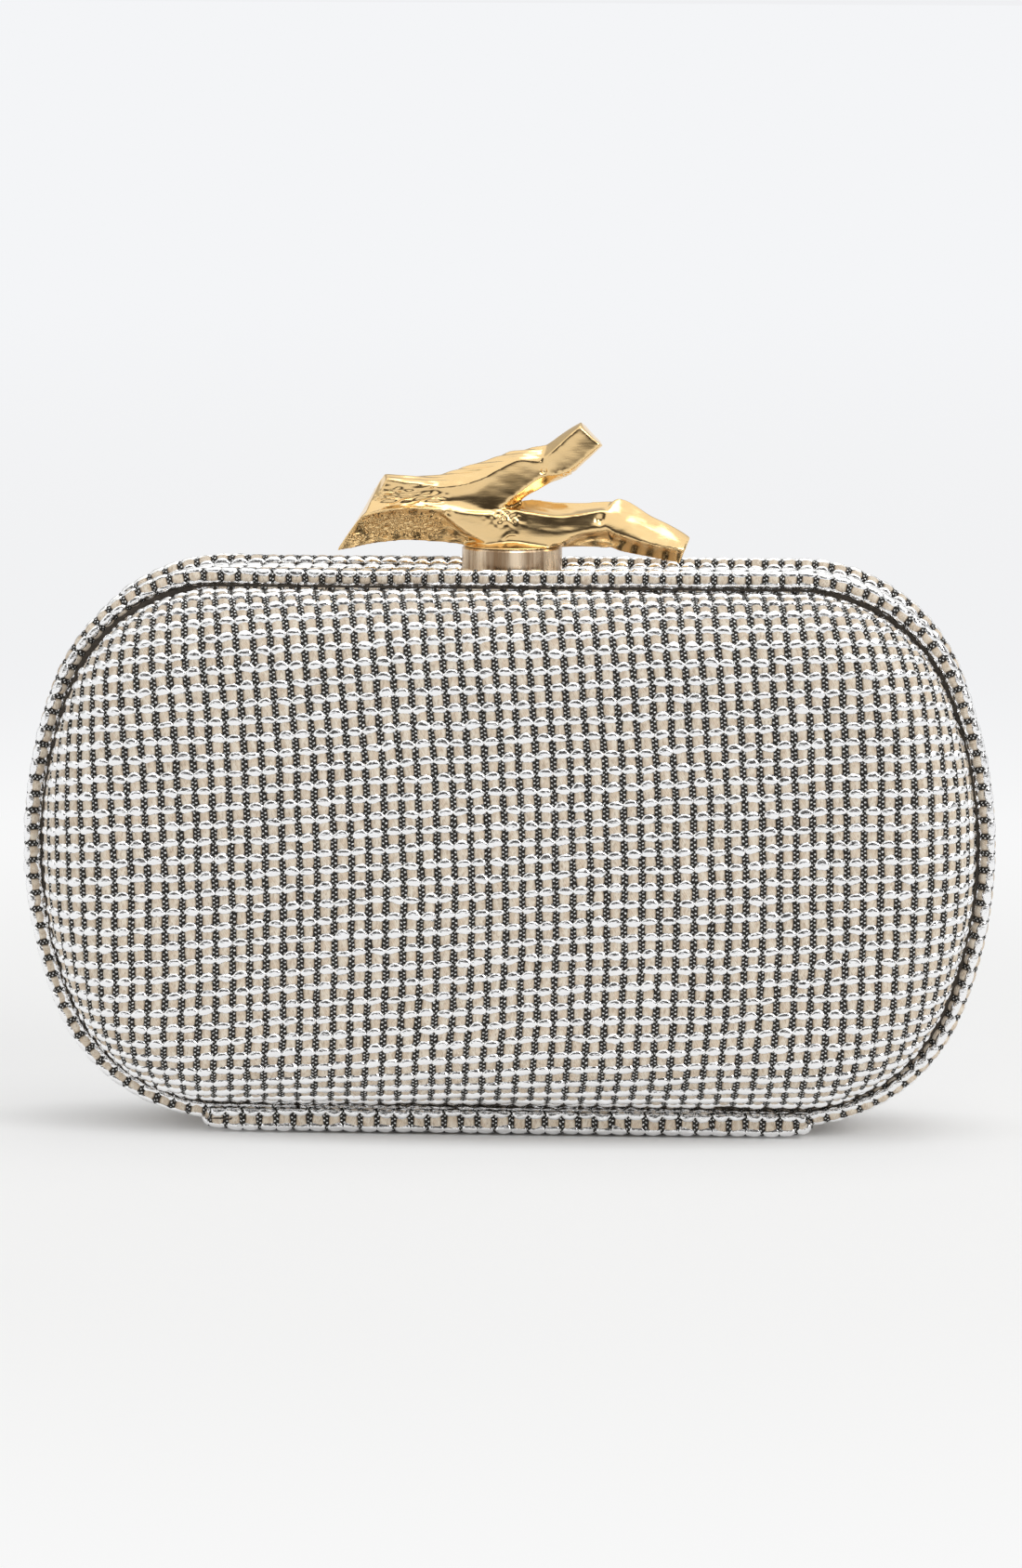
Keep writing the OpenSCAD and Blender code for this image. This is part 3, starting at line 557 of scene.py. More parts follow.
# Across a foil weft: where its places are, and how high its bead stands at each. Along it: where the steps
# of one pitch are.
FOIL_ACROSS = np.array([-1.0, -0.62, -0.15, 0.15, 0.46, 0.72, 1.0])
FOIL_CREST = np.array([0.05, 0.84, 0.99, 1.0, 0.91, 0.74, 0.12])
FOIL_STEPS = np.array([0.0, 0.045, 0.13, 0.30, 0.5, 0.70, 0.87, 0.955])


def foil_wefts(columns, rows, rng, seed):
    """Foil wefts: an oval bead over each beige warp, nearly straight below and arched above, with a narrow
    link from bead to bead that lies over one black warp and dips under the next, so that the beads seem
    to stand in pairs. No two beads have quite the same size, tilt and dents."""
    k = np.arange(rows[0], rows[1] + 1)
    U = np.append((np.arange(*columns)[:, None] + FOIL_STEPS).ravel(), columns[1])
    x = U % 1.0 - 0.5
    beads = columns[1] - columns[0]
    cell = np.clip(np.floor(U).astype(int) - columns[0], 0, beads - 1)
    bead = rng.standard_normal((5, len(k), beads))[:, :, cell]
    over = np.cos(np.pi * (np.round(U) + k[:, None]))
    shift = 0.02 * np.cos(np.pi * (np.floor(U) + k[:, None]))
    lens = np.clip(1 - np.abs((x + shift) / 0.475) ** 3.2, 0, 1) ** 0.5
    arch = np.clip(1 - np.abs((x + shift + 0.05 * bead[3]) / 0.48) ** 2, 0, 1)
    high = (0.045 + 0.010 * over + 0.13 * lens + 0.21 * arch * (1 + 0.22 * bead[0]))[..., None]
    low = (0.055 + 0.020 * over + 0.205 * lens * (1 + 0.15 * bead[1]))[..., None]
    lens = lens[..., None]
    K, U, A = np.meshgrid(k, U, FOIL_ACROSS, indexing="ij")
    lift = (0.025 * bead[2][..., None] + 0.12 * bead[3][..., None] * x[:, None]) * lens
    V = K + lift - low + (low + high) * (A + 1) / 2
    link = (0.33 + 0.22 * over)[..., None] * (1 - 0.6 * A ** 2)
    dent = 0.06 * waves(U * 3.1, V * 2.7, seed + 5, 1.0)
    H = link * (1 - lens) + lens * (0.12 + 0.80 * FOIL_CREST * (1 + 0.10 * bead[1][..., None])
                                    + 0.08 * bead[4][..., None] * A + dent)
    return U, V, H, A * 0.5 + 0.5, U


def weave(name, surface, columns, rows, bend, relief=1.0, dark=1.0, seed=1, keep=None, closed_u=False):
    """The cloth as three meshes of separate yarns over a surface.
    Columns are beige and black warps in turn, one pair to a pitch, and each row is a foil weft. bend turns
    column and row numbers into the cloth's own millimetres, and surface turns these into places and
    outward directions, along which the yarns stand out by their H times relief. Quads with no corner
    where keep holds are left out."""
    rng = np.random.default_rng(seed)
    yarns = (("beige_warp", BEIGE, beige_warps(columns, rows, rng)),
             ("black_warp", BLACK, black_warps(columns, rows, seed, dark, closed_u)),
             ("foil_weft", FOIL, foil_wefts(columns, rows, rng, seed)))
    cloth = []
    for kind, material, (U, V, H, across, along) in yarns:
        u, v = bend(U, V)
        p, n = surface(u, v)
        points = p + n * (H * relief)[..., None]
        quads = grid_quads(len(U), U.shape[1] - 1, U.shape[2] - 1)
        if keep is not None:
            quads = quads[keep(u, v, points).ravel()[quads].any(1)]
        quads = facing_out(points, quads, n)
        used = np.unique(quads)
        number = np.zeros(U.size, int)
        number[used] = np.arange(len(used))
        yarn = np.stack([across, along], -1).reshape(-1, 2)[used]
        cloth.append(make_piece(f"{name}_{kind}", points.reshape(-1, 3)[used], number[quads], material,
                                yarn))
    beige, black, foil = cloth
    return foil, beige, black


# Panels

# The first and last columns and rows of a panel's cloth, which its edge cuts off
PANEL_COLUMNS, PANEL_ROWS = (-31, 31), (-19, 19)

# The depths of both faces of the padding, and of the satin inside the dome, below the panel's face
PADDING_IN, SATIN_IN = (0.40, 1.6), (3.35, 3.85)


def panel_bend(U, V):
    """Rows rise to the right by 3.4°, more at the left, columns bow a little, and both wander slightly."""
    u, v = U * PITCH, V * PITCH
    lean = -0.0010 * v ** 2 - 0.02 * v
    rise = 0.059 * u - 0.00016 * u ** 2
    return (u + lean + 0.22 * waves(u, v, 11, 55.0) + 0.10 * waves(u, v, 12, 17.0),
            v + rise + 0.25 * waves(u, v, 13, 60.0) + 0.12 * waves(u, v, 14, 19.0))


def within_panel(u, v, points):
    """Where a point of the flat cloth reaches the panel: no further out than the rounded edge is long."""
    return region(u, v)[0] > FLAT_IN - EDGE_ARC[-1]


def dome_ring_shell(name, side, layers, material, body, pucker=None, detail=(260, 14, 10)):
    """A closed shell between two layers of a dome, each layer's depth below the panel's face. Rings run
    from the edge up the quarter ellipse, and on to the middle at equal shares. pucker deepens the inner
    layer at each share of the way round and at each share of the way up from the edge."""
    around, up, flat = detail
    share = np.linspace(0, 1, around, endpoint=False)
    x0, z0, nx, nz = rim(share, FLAT_IN)
    t = np.linspace(math.pi / 2, 0, up)
    s = np.linspace(1, 0.04, flat)[1:]
    skins = []
    for layer in layers:
        wide, deep = DOME_W - layer, DOME_D - layer
        out = (wide * np.sin(t))[:, None]
        edge = np.stack([x0 + nx * out, z0 + nz * out], -1)
        middle = s[:, None, None] * np.stack([x0, z0], -1)
        xz = np.concatenate([edge, middle])
        rise = np.concatenate([deep * np.cos(t), np.full(len(s), deep)])[:, None]
        depth = DOME_BASE + rise + crown_height(xz[..., 0], xz[..., 1])
        if pucker is not None and layer == layers[1]:
            fold = pucker(share[None, :], np.linspace(0, 1, len(xz))[:, None])
            depth = depth - fold
            xz = xz - np.stack([nx, nz], -1) * fold[..., None]
        skins.append(np.stack([-side * xz[..., 0], side * depth, MID_Z + xz[..., 1]], -1))
    rings = np.concatenate([skins[0][::-1], skins[1]])
    away = np.zeros(rings.shape)
    away[:len(skins[0]), :, 1], away[len(skins[0]):, :, 1] = side, -side
    quads, caps = capped_tube(rings, away)
    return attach(make_piece(name, rings, quads, material, caps=caps), body)


def dome_gathers(share, up):
    """Gathers of the lining: fine and deep at the rim, fading towards the middle by the exponential of
    the way up, and a faint slow wave."""
    fine = np.abs(waves(share * 500, up * 6, 72, 6.5)) * np.exp(-up * 2.6) * soft_step(up, 0.0, 0.08)
    return 0.80 * fine + 0.07 * waves(share * 90, up * 40, 73, 15.0)


def panel_and_lining(half, side):
    """The face of one half: the woven panel on its padding, and the gathered satin inside the dome."""
    body = f"{half}_half"
    for piece in weave(f"{half}_panel", dome_cloth(side), PANEL_COLUMNS, PANEL_ROWS, panel_bend,
                       seed=20 + side, keep=within_panel):
        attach(piece, body)
    padding = dome_ring_shell(f"{half}_panel_padding", side, PADDING_IN, GROUND, body)
    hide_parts(f"{half}_panel")
    satin = dome_ring_shell(f"{half}_dome_satin", side, SATIN_IN, SATIN, body, dome_gathers,
                            (420, 22, 14))
    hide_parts(f"{half}_dome_lining")


for half, side in HALVES:
    panel_and_lining(half, side)


# Piping and band

# A whole number of pitches goes round the bag, and PIPING_ROWS rows round the cord. The yarns are laid on a
# tube of radius TUBE_R, and the core under them is a little thicker, to fill the gaps.
PIPING_CELLS = round(way_round(PIPING_R)[-1] / PITCH)
PIPING_ROUND = PIPING_CELLS * PITCH
PIPING_ROWS = 3
TUBE_R, CORE_R = 1.30, 1.34

# By how many degrees the cloth has turned on its cord at each share of the way round, as the photograph
# shows it. A whole round adds ROUND_TURN, which is the last turn less the first.
PIPING_TURNS = ([0, .05, .09, .14, .20, .24, .32, .37, .44, .50, .62, .72, .80, .87, .907, .94, 1],
                [30, 25, 16, 25, 37, 52, 85, 112, 130, 135, 145, 155, 175, 235, 290, 292, 270])
ROUND_TURN = 240


def tube_cloth(side):
    """Surface of the piping: u runs round the bag, and v round the tube from its outer side to its
    face. The cloth turns slowly on its cord, so that a foil row wanders from edge to edge."""
    def surface(u, v):
        share = u / PIPING_ROUND
        drift = np.radians(np.interp(share % 1.0, *PIPING_TURNS) + ROUND_TURN * np.floor(share))
        a = v / PIPING_ROWS / PITCH * 2 * np.pi + drift
        x, z, nx, nz = rim(share, PIPING_R)
        n = np.stack([nx * np.cos(a), side * np.sin(a), nz * np.cos(a)], -1)
        centre = np.stack([x, np.full(x.shape, side * PIPING_Y), MID_Z + z], -1)
        return centre + n * TUBE_R, n
    return surface


def ring_bend(U, V):
    """Small wander of the columns and rows that closes on itself round the bag: waves over a circle."""
    u, v = U * PITCH, V * PITCH
    turn = 2 * np.pi * U / PIPING_CELLS
    x, z = 80 * np.cos(turn), 80 * np.sin(turn)
    return u + 0.10 * waves(x, z, 31, 23.0), v + 0.12 * waves(x + v, z, 32, 31.0)


def swept_ring(name, profile, side, material, squeeze=None, ripple=None):
    """A closed ring: a profile of (inset, depth) pairs taken all the way round the outline, in finer steps
    at the top. squeeze gives the least depth at each x and z, for a notch. ripple adds to the inset."""
    top = np.linspace(-0.02, 0.02, 161)
    share = np.concatenate([top, np.linspace(0.02, 0.98, 520)[1:-1]])[:, None]
    inset, depth = (np.asarray(c, float)[None, :] for c in zip(*profile))
    rings = [rim(share[:, 0], i) for i in inset[0]]
    x, z, nx, nz = (np.stack([r[k] for r in rings], 1) for k in range(4))
    deep = depth + 0 * x
    if squeeze is not None:
        deep = np.maximum(deep, squeeze(x, z))
    if ripple is not None:
        more = ripple(share, deep)
        x, z = x - nx * more, z - nz * more
    points = np.stack([-side * x, side * deep, MID_Z + z], -1)
    quads = grid_quads(1, *x.shape, closed=True) % x.size
    middle = points.mean(1, keepdims=True)
    return make_piece(name, points, facing_out(points, quads, points - middle), material)


def circle(inset, depth, radius, count=14):
    """A round profile: (inset, depth) pairs at equal turns about a centre."""
    turn = np.linspace(0, 2 * np.pi, count, endpoint=False)
    return list(zip(inset + radius * np.cos(turn), depth + radius * np.sin(turn)))


# The band's cloth runs from SEAM to BAND, in depth, at the inset BAND_IN. NECK holds half the width and the
# depth of each half's notch for the clasp's neck. The profiles are pairs of inset and depth.
SEAM, BAND, BAND_IN, BAND_ROWS = 0.25, 9.75, 1.75, 3
NECK = {"front": (6.1, 6.9), "rear": (6.5, 4.8)}
CORE = circle(PIPING_R, PIPING_Y, CORE_R)
BAND_GROUND = ((1.72, 1.5), (1.72, 9.6), (2.3, 9.9), (2.9, 9.9), (2.9, 0.3), (2.5, 0.3))
PIPING_TAPE = ((1.6, 11.2), (5.6, 11.15), (5.6, 11.45), (3.6, 11.8), (1.6, 11.8))
BAND_SATIN = ((7.42, 1.7), (7.42, 9.0), (7.9, 9.0), (7.9, 1.7))


def band_cloth(side):
    """Surface of the band: u runs round the bag and v from the seam to the piping. The cloth turns down
    at both edges, by the square of its way into the last 1.3 and 1.5 mm, and leans out at the seam."""
    def surface(u, v):
        width = BAND - SEAM
        v = np.clip(v, 0, width)
        x, z, nx, nz = rim(u / PIPING_ROUND, BAND_IN)
        lip = 1.3 * np.clip(1 - v / 1.3, 0, 1) ** 2 + 0.6 * np.clip((v - width) / 1.5 + 1, 0, 1) ** 2
        lean = 2.2 * np.clip(1 - v / 1.3, 0, 1)
        n = np.stack([-side * nx, -side * lean, nz], -1)
        n = n / np.linalg.norm(n, axis=-1)[..., None]
        at = np.stack([-side * (x - nx * lip), side * (SEAM + v), MID_Z + z - nz * lip], -1)
        return at, n
    return surface


def band_pucker(share, depth):
    """Small puckers across the band's lining: short waves round the bag."""
    return 0.10 * waves(share * 480, depth * 0.2, 71, 4.2) - 0.05


def past_neck(half):
    """The least depth of a half's band at each place: beyond the notch for the clasp's neck."""
    wide, deep = NECK[half]
    return lambda x, z: np.where((np.abs(x) < wide) & (z > 0), deep, 0.0)


def clear_of_neck(half, side):
    """Where the band's cloth is kept: between its two edges and outside the notch."""
    wide, deep = NECK[half]

    def kept(u, v, points):
        x, y, z = np.moveaxis(points, -1, 0)
        notched = (np.abs(x) < wide) & (z > MID_Z) & (side * y < deep)
        return (v < BAND - SEAM + 0.4) & (v > -0.4) & ~notched
    return kept


def piping_and_band(half, side):
    """The edge of one half: woven piping on its core, the tape that holds it, the woven band on its
    ground cloth, and the band's lining."""
    cloth = weave(f"{half}_piping", tube_cloth(side), (0, PIPING_CELLS), (0, PIPING_ROWS), ring_bend,
                  relief=0.62, dark=0.7, seed=40 + side, closed_u=True)
    for piece in cloth:
        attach(piece, f"{half}_half")
    core = swept_ring(f"{half}_piping_core", CORE, side, GROUND)
    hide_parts(f"{half}_piping", f"{half}_piping_cord")
    band = weave(f"{half}_band", band_cloth(side), (0, PIPING_CELLS), (0, BAND_ROWS), ring_bend,
                 relief=0.72, dark=0.8, seed=60 + side, closed_u=True, keep=clear_of_neck(half, side))
    ground = swept_ring(f"{half}_band_ground", BAND_GROUND, side, GROUND, past_neck(half))
    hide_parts(f"{half}_band_cover")
    tape = swept_ring(f"{half}_piping_tape", PIPING_TAPE, side, GROUND)
    lining = swept_ring(f"{half}_band_satin", BAND_SATIN, side, SATIN, past_neck(half), band_pucker)
    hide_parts(f"{half}_band_lining")
    for piece in (*band, core, ground, tape, lining):
        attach(piece, f"{half}_half")


for half, side in HALVES:
    piping_and_band(half, side)


# Slip pocket

# Its width, the heights of its lower edge and its mouth from the dome's middle, its hem, its depth below the
# panel's face, the height of the stitch line in the hem, and the way from stitch to stitch
POCKET_W, POCKET_LOW, POCKET_HIGH, POCKET_HEM, POCKET_IN = 100.0, -33.0, 13.0, 4.0, 4.25
STITCH_Z = POCKET_HIGH - POCKET_HEM + 0.8
STITCH_STEP = 2.6


def pocket_layer(x, z, lift):
    """A layer of the pocket, lift above the rear lining. It stands away at its mouth by a soft step up it
    times a parabola across it, sags in slow waves, and its mouth's corners drop by a parabola."""
    slack = 1.5 * soft_step(z, POCKET_LOW + 6, POCKET_HIGH) * (1 - (2 * x / POCKET_W) ** 2)
    sag = 0.14 * waves(x, z * 0.6, 91, 21.0) * (1 - (2 * x / POCKET_W) ** 4)
    face = DOME_BASE + DOME_D - POCKET_IN + crown_height(x, z)
    drop = 0.5 * soft_step(z, POCKET_HIGH - 3, POCKET_HIGH) * (2 * x / POCKET_W) ** 2
    return np.stack([x, face - lift - slack - sag, MID_Z + z - drop], -1)


def slip_pocket():
    """The pocket as a closed sheet. Its hem is thicker, and dips along the stitch line."""
    x, z = np.meshgrid(np.linspace(-POCKET_W / 2, POCKET_W / 2, 121),
                       np.linspace(POCKET_LOW, POCKET_HIGH, 57), indexing="ij")
    hem = soft_step(z, POCKET_HIGH - POCKET_HEM - 0.35, POCKET_HIGH - POCKET_HEM + 0.1)
    line = np.exp(-((z - STITCH_Z) / 0.35) ** 2)
    quilt = 0.42 * hem * (1 - 0.75 * line) + 0.05 * np.abs(waves(x * 1.6, z, 92, 5.0)) * hem
    points, quads = closed_sheet(pocket_layer(x, z, 0.62 + quilt), pocket_layer(x, z, 0.12), (0, -1, 0))
    pocket = make_piece("satin_slip_pocket", points, quads, SATIN)
    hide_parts("slip_pocket")
    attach(pocket, "rear_half")


def pocket_stitches():
    """Stitches along the hem and round the pocket's edge: short threads on the cloth, each a spindle of
    four rings of six points, turned the way its line runs."""
    across = np.arange(2.0 - POCKET_W / 2, POCKET_W / 2 - 1.9, STITCH_STEP)
    down = np.arange(POCKET_LOW + 2.0, POCKET_HIGH - 1.0, STITCH_STEP)
    x = np.concatenate([across, across, 0 * down + 1.0 - POCKET_W / 2, 0 * down + POCKET_W / 2 - 1.0])
    z = np.concatenate([0 * across + STITCH_Z, 0 * across + POCKET_LOW + 1.0, down, down])
    level = np.concatenate([0 * across, 0 * across, 0 * down + math.pi / 2, 0 * down + math.pi / 2])
    a = np.linspace(0, 2 * np.pi, 6, endpoint=False)
    along = np.array([-0.85, -0.35, 0.35, 0.85])[:, None]
    thick = np.array([0.03, 0.16, 0.16, 0.03])[:, None]
    one = np.stack([along + 0 * a, thick * np.cos(a) * 0.8, thick * np.sin(a)], -1)
    quads, caps = capped_tube(one, one * [0, 1, 1])
    c, s = np.cos(level)[:, None, None], np.sin(level)[:, None, None]
    turned = np.stack([one[..., 0] * c - one[..., 2] * s, one[..., 1] + 0 * c,
                       one[..., 0] * s + one[..., 2] * c], -1)
    points = turned + pocket_layer(x, z, 0.72)[:, None, None, :]
    start = np.arange(len(x)) * len(a) * len(along)
    threads = make_piece("pocket_stitches", points, (quads + start[:, None, None]).reshape(-1, 4), THREAD,
                         caps=[cap + k for k in start for cap in caps])
    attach(threads, "rear_half")


slip_pocket()
pocket_stitches()


# Base strip

# Half its length and breadth, the rounds of its edge and of its corners, the height of its cloth above the
# ground, and the round of the lip at its top, with how far round the cloth turns there
STRIP_X, STRIP_Y, STRIP_ROUND, STRIP_CORNER = 60.0, 13.75, 1.3, 0.6
STRIP_SKIN, STRIP_LIP, STRIP_TUCK = 0.42, 0.35, 0.9 * math.pi
STRIP_ARC = STRIP_ROUND * math.pi / 2

# Half the length and breadth of the board before its edges are turned up, its thickness, and how far it
# lies under the cloth
BOARD_X, BOARD_Y, BOARD_THICK, BOARD_IN = 61.0, 17.2, 0.5, 0.05


def strip_plan(u, v):
    """How far a point of the flat cloth lies beyond the strip's flat sole, and its outward direction."""
    flat_x, flat_y = STRIP_X - STRIP_ROUND - STRIP_CORNER, STRIP_Y - STRIP_ROUND - STRIP_CORNER
    dx, dy = np.maximum(np.abs(u) - flat_x, 0), np.maximum(np.abs(v) - flat_y, 0)
    away = np.hypot(dx, dy)
    safe = np.where(away <= STRIP_CORNER, 1, away)
    return np.maximum(away - STRIP_CORNER, 0), np.sign(u) * dx / safe, np.sign(v) * dy / safe


def strip_wall(ny):
    """Height of the wall: high where it faces the front or the back, and low at the folded ends."""
    return 0.2 + 2.5 * ny ** 2


def strip_point(u, v):
    """A point of the strip under the bag. The cloth is flat on the sole, turns a quarter round its edge,
    goes up the wall with a slight lean, and turns in over its top. The last 8 mm at each end curl up by
    the power 1.5 of the way into them."""
    beyond, nx, ny = strip_plan(u, v)
    wall = strip_wall(ny)
    turn = np.clip(beyond / STRIP_ROUND, 0, math.pi / 2)
    up = np.clip(beyond - STRIP_ARC, 0, wall)
    over = np.clip((beyond - STRIP_ARC - wall) / STRIP_LIP, 0, STRIP_TUCK)
    out = STRIP_ROUND * np.sin(turn) - 0.10 * up - STRIP_LIP * (1 - np.cos(over)) - beyond
    rise = STRIP_SKIN + STRIP_ROUND * (1 - np.cos(turn)) + up + STRIP_LIP * np.sin(over)
    rise = rise + 0.035 * np.clip(np.abs(u) - 52, 0, 8) ** 1.5 * (rise < 2.5)
    return np.stack([u + nx * out, v + ny * out, rise], -1)


def strip_cloth(u, v):
    """Surface of the strip for the weaver: the outward direction is the cross product of the steps along
    v and u, and straight down where these vanish."""
    e = 0.04
    p = strip_point(u, v)
    du, dv = strip_point(u + e, v) - strip_point(u - e, v), strip_point(u, v + e) - strip_point(u, v - e)
    n = np.cross(dv, du)
    length = np.linalg.norm(n, axis=-1)[..., None]
    n = np.where(length > 1e-6, n / np.maximum(length, 1e-9), np.array([0, 0, -1.0]))
    return p, n


def on_strip(u, v, points):
    """Where the strip's cloth is kept: as far as its round edge, wall and lip reach."""
    beyond, nx, ny = strip_plan(u, v)
    return beyond < STRIP_ARC + strip_wall(ny) + STRIP_TUCK * STRIP_LIP


def strip_bend(U, V):
    """The strip's columns and rows, moved to where the photograph has them, with a slight wander."""
    u, v = U * PITCH, V * PITCH
    return u + 0.8 + 0.15 * waves(u, v, 51, 30.0), v - 0.50 + 0.10 * waves(u, v, 52, 40.0)


def strip_board():
    """The stiffener inside the strip: a thin closed tray just under the cloth, with turned-up edges."""
    u, v = np.meshgrid(np.linspace(-BOARD_X, BOARD_X, 130), np.linspace(-BOARD_Y, BOARD_Y, 60),
                       indexing="ij")
    cloth, n = strip_cloth(u, v)
    outer = cloth - BOARD_IN * n
    points, quads = closed_sheet(outer, outer - BOARD_THICK * n, n)
    return make_piece("base_strip_board", points, quads, GROUND)


strip = weave("base_strip", strip_cloth, (-20, 20), (-6, 6), strip_bend, relief=0.55, dark=0.85, seed=77,
              keep=on_strip)
board = strip_board()
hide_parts("base_strip_front", "base_strip_rear", "base_strip_fold")
for piece in (*strip, board):
    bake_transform(piece)


# The branch

def through(stations, per):
    """Smooth curves through the ridges' points, station by station, per steps between two of them: the
    cubic whose slope at a point is half the way from the point before it to the one after."""
    p = np.concatenate([2 * stations[:1] - stations[1:2], stations, 2 * stations[-1:] - stations[-2:-1]])
    t = np.linspace(0, 1, per, endpoint=False).reshape(-1, *[1] * (stations.ndim - 1))
    made = [b + t * (c - a) / 2 + t ** 2 * (2 * a - 5 * b + 4 * c - d) / 2
            + t ** 3 * (3 * b - 3 * c + d - a) / 2 for a, b, c, d in zip(p[:-3], p[1:-2], p[2:-1], p[3:])]
    return np.concatenate([*made, stations[-1:]])


def carved(ridges, bows, per=10, across=8):
    """A closed carved limb. ridges holds, for each station along it, the points of its ridges in turn,
    and bows how far each facet between two ridges stands out, as a parabola from ridge to ridge, or
    sinks in where it is negative."""
    ridges, bows = through(np.array(ridges, float), per), through(np.array(bows, float), per)
    after = np.roll(ridges, -1, axis=1)
    w = np.linspace(0, 1, across, endpoint=False)[:, None]
    along = np.gradient(ridges, axis=0)
    normal = np.cross(along, after - ridges)
    outward = (ridges + after) / 2 - ridges.mean(1, keepdims=True)
    normal = normal * np.sign((normal * outward).sum(-1))[..., None]
    normal = normal / np.maximum(np.linalg.norm(normal, axis=-1), 1e-9)[..., None]
    skin = ridges[:, :, None] * (1 - w) + after[:, :, None] * w
    skin = skin + normal[:, :, None] * bows[:, :, None, None] * 4 * w * (1 - w)
    rings = skin.reshape(len(ridges), -1, 3)
    quads, caps = capped_tube(rings, rings - rings.mean(1, keepdims=True))
    return rings.reshape(-1, 3), quads, caps


def turned_seat():
    """The foot of the branch: a profile of radius and height, turned, which flares out to the boss's rim."""
    profile = np.array([(9.55, 114.96), (9.6, 115.15), (9.2, 115.32), (8.2, 115.5), (7.0, 115.8),
                        (5.8, 116.4)])
    a = np.linspace(0, 2 * np.pi, 72, endpoint=False)
    rings = np.stack([profile[:, :1] * np.cos(a), profile[:, :1] * np.sin(a) * 0.98,
                      profile[:, 1:] + 0 * a], -1)
    quads, caps = capped_tube(rings, rings - np.array([0, 0, 116.0]))
    return rings.reshape(-1, 3), quads, caps


def fused(bodies, cell):
    """One closed skin round several overlapping closed bodies, as points and quads."""
    start = np.cumsum([0] + [len(b[0]) for b in bodies])
    lump = make_piece("lump", np.concatenate([b[0] for b in bodies]),
                      np.concatenate([b[1] + s for b, s in zip(bodies, start)]), POLISHED,
                      caps=[c + s for b, s in zip(bodies, start) for c in b[2]])
    merge = lump.modifiers.new("merge", "REMESH")
    merge.mode, merge.voxel_size, merge.adaptivity = "VOXEL", cell * MM, 0.0
    mesh = bpy.data.meshes.new_from_object(lump.evaluated_get(bpy.context.evaluated_depsgraph_get()))
    points = np.empty(len(mesh.vertices) * 3)
    mesh.vertices.foreach_get("co", points)
    quads = np.empty(len(mesh.loops), int)
    mesh.loops.foreach_get("vertex_index", quads)
    old = lump.data
    bpy.data.objects.remove(lump)
    bpy.data.meshes.remove(old)
    bpy.data.meshes.remove(mesh)
    return points.reshape(-1, 3) / MM, quads.reshape(-1, 4)


def relaxed(points, quads, rounds, share=0.5):
    """The points after some rounds in which each moves part of the way to the mean of its neighbours."""
    a = np.concatenate([quads[:, k] for k in range(4)] + [quads[:, (k + 1) % 4] for k in range(4)])
    b = np.concatenate([quads[:, (k + 1) % 4] for k in range(4)] + [quads[:, k] for k in range(4)])
    number = np.bincount(a, minlength=len(points))[:, None]
    for _ in range(rounds):
        mean = np.stack([np.bincount(a, points[b, k], len(points)) for k in range(3)], -1) / number
        points = points + share * (mean - points)
    return points


def skin_normals(points, quads):
    """The outward direction at each point: the sum of the cross products of its quads' diagonals."""
    p = points[quads]
    face = np.cross(p[:, 2] - p[:, 0], p[:, 3] - p[:, 1])
    n = np.stack([np.bincount(quads.ravel(), np.repeat(face[:, k], 4), len(points)) for k in range(3)], -1)
    return n / np.maximum(np.linalg.norm(n, axis=1), 1e-12)[:, None]


def hump(x, z, at, reach, height):
    """A round bump, or a pit where its height is negative: it falls off as the exponential of minus the
    square of the distance over its reach."""
    return height * np.exp(-((x - at[0]) ** 2 + (z - at[1]) ** 2) / reach ** 2)


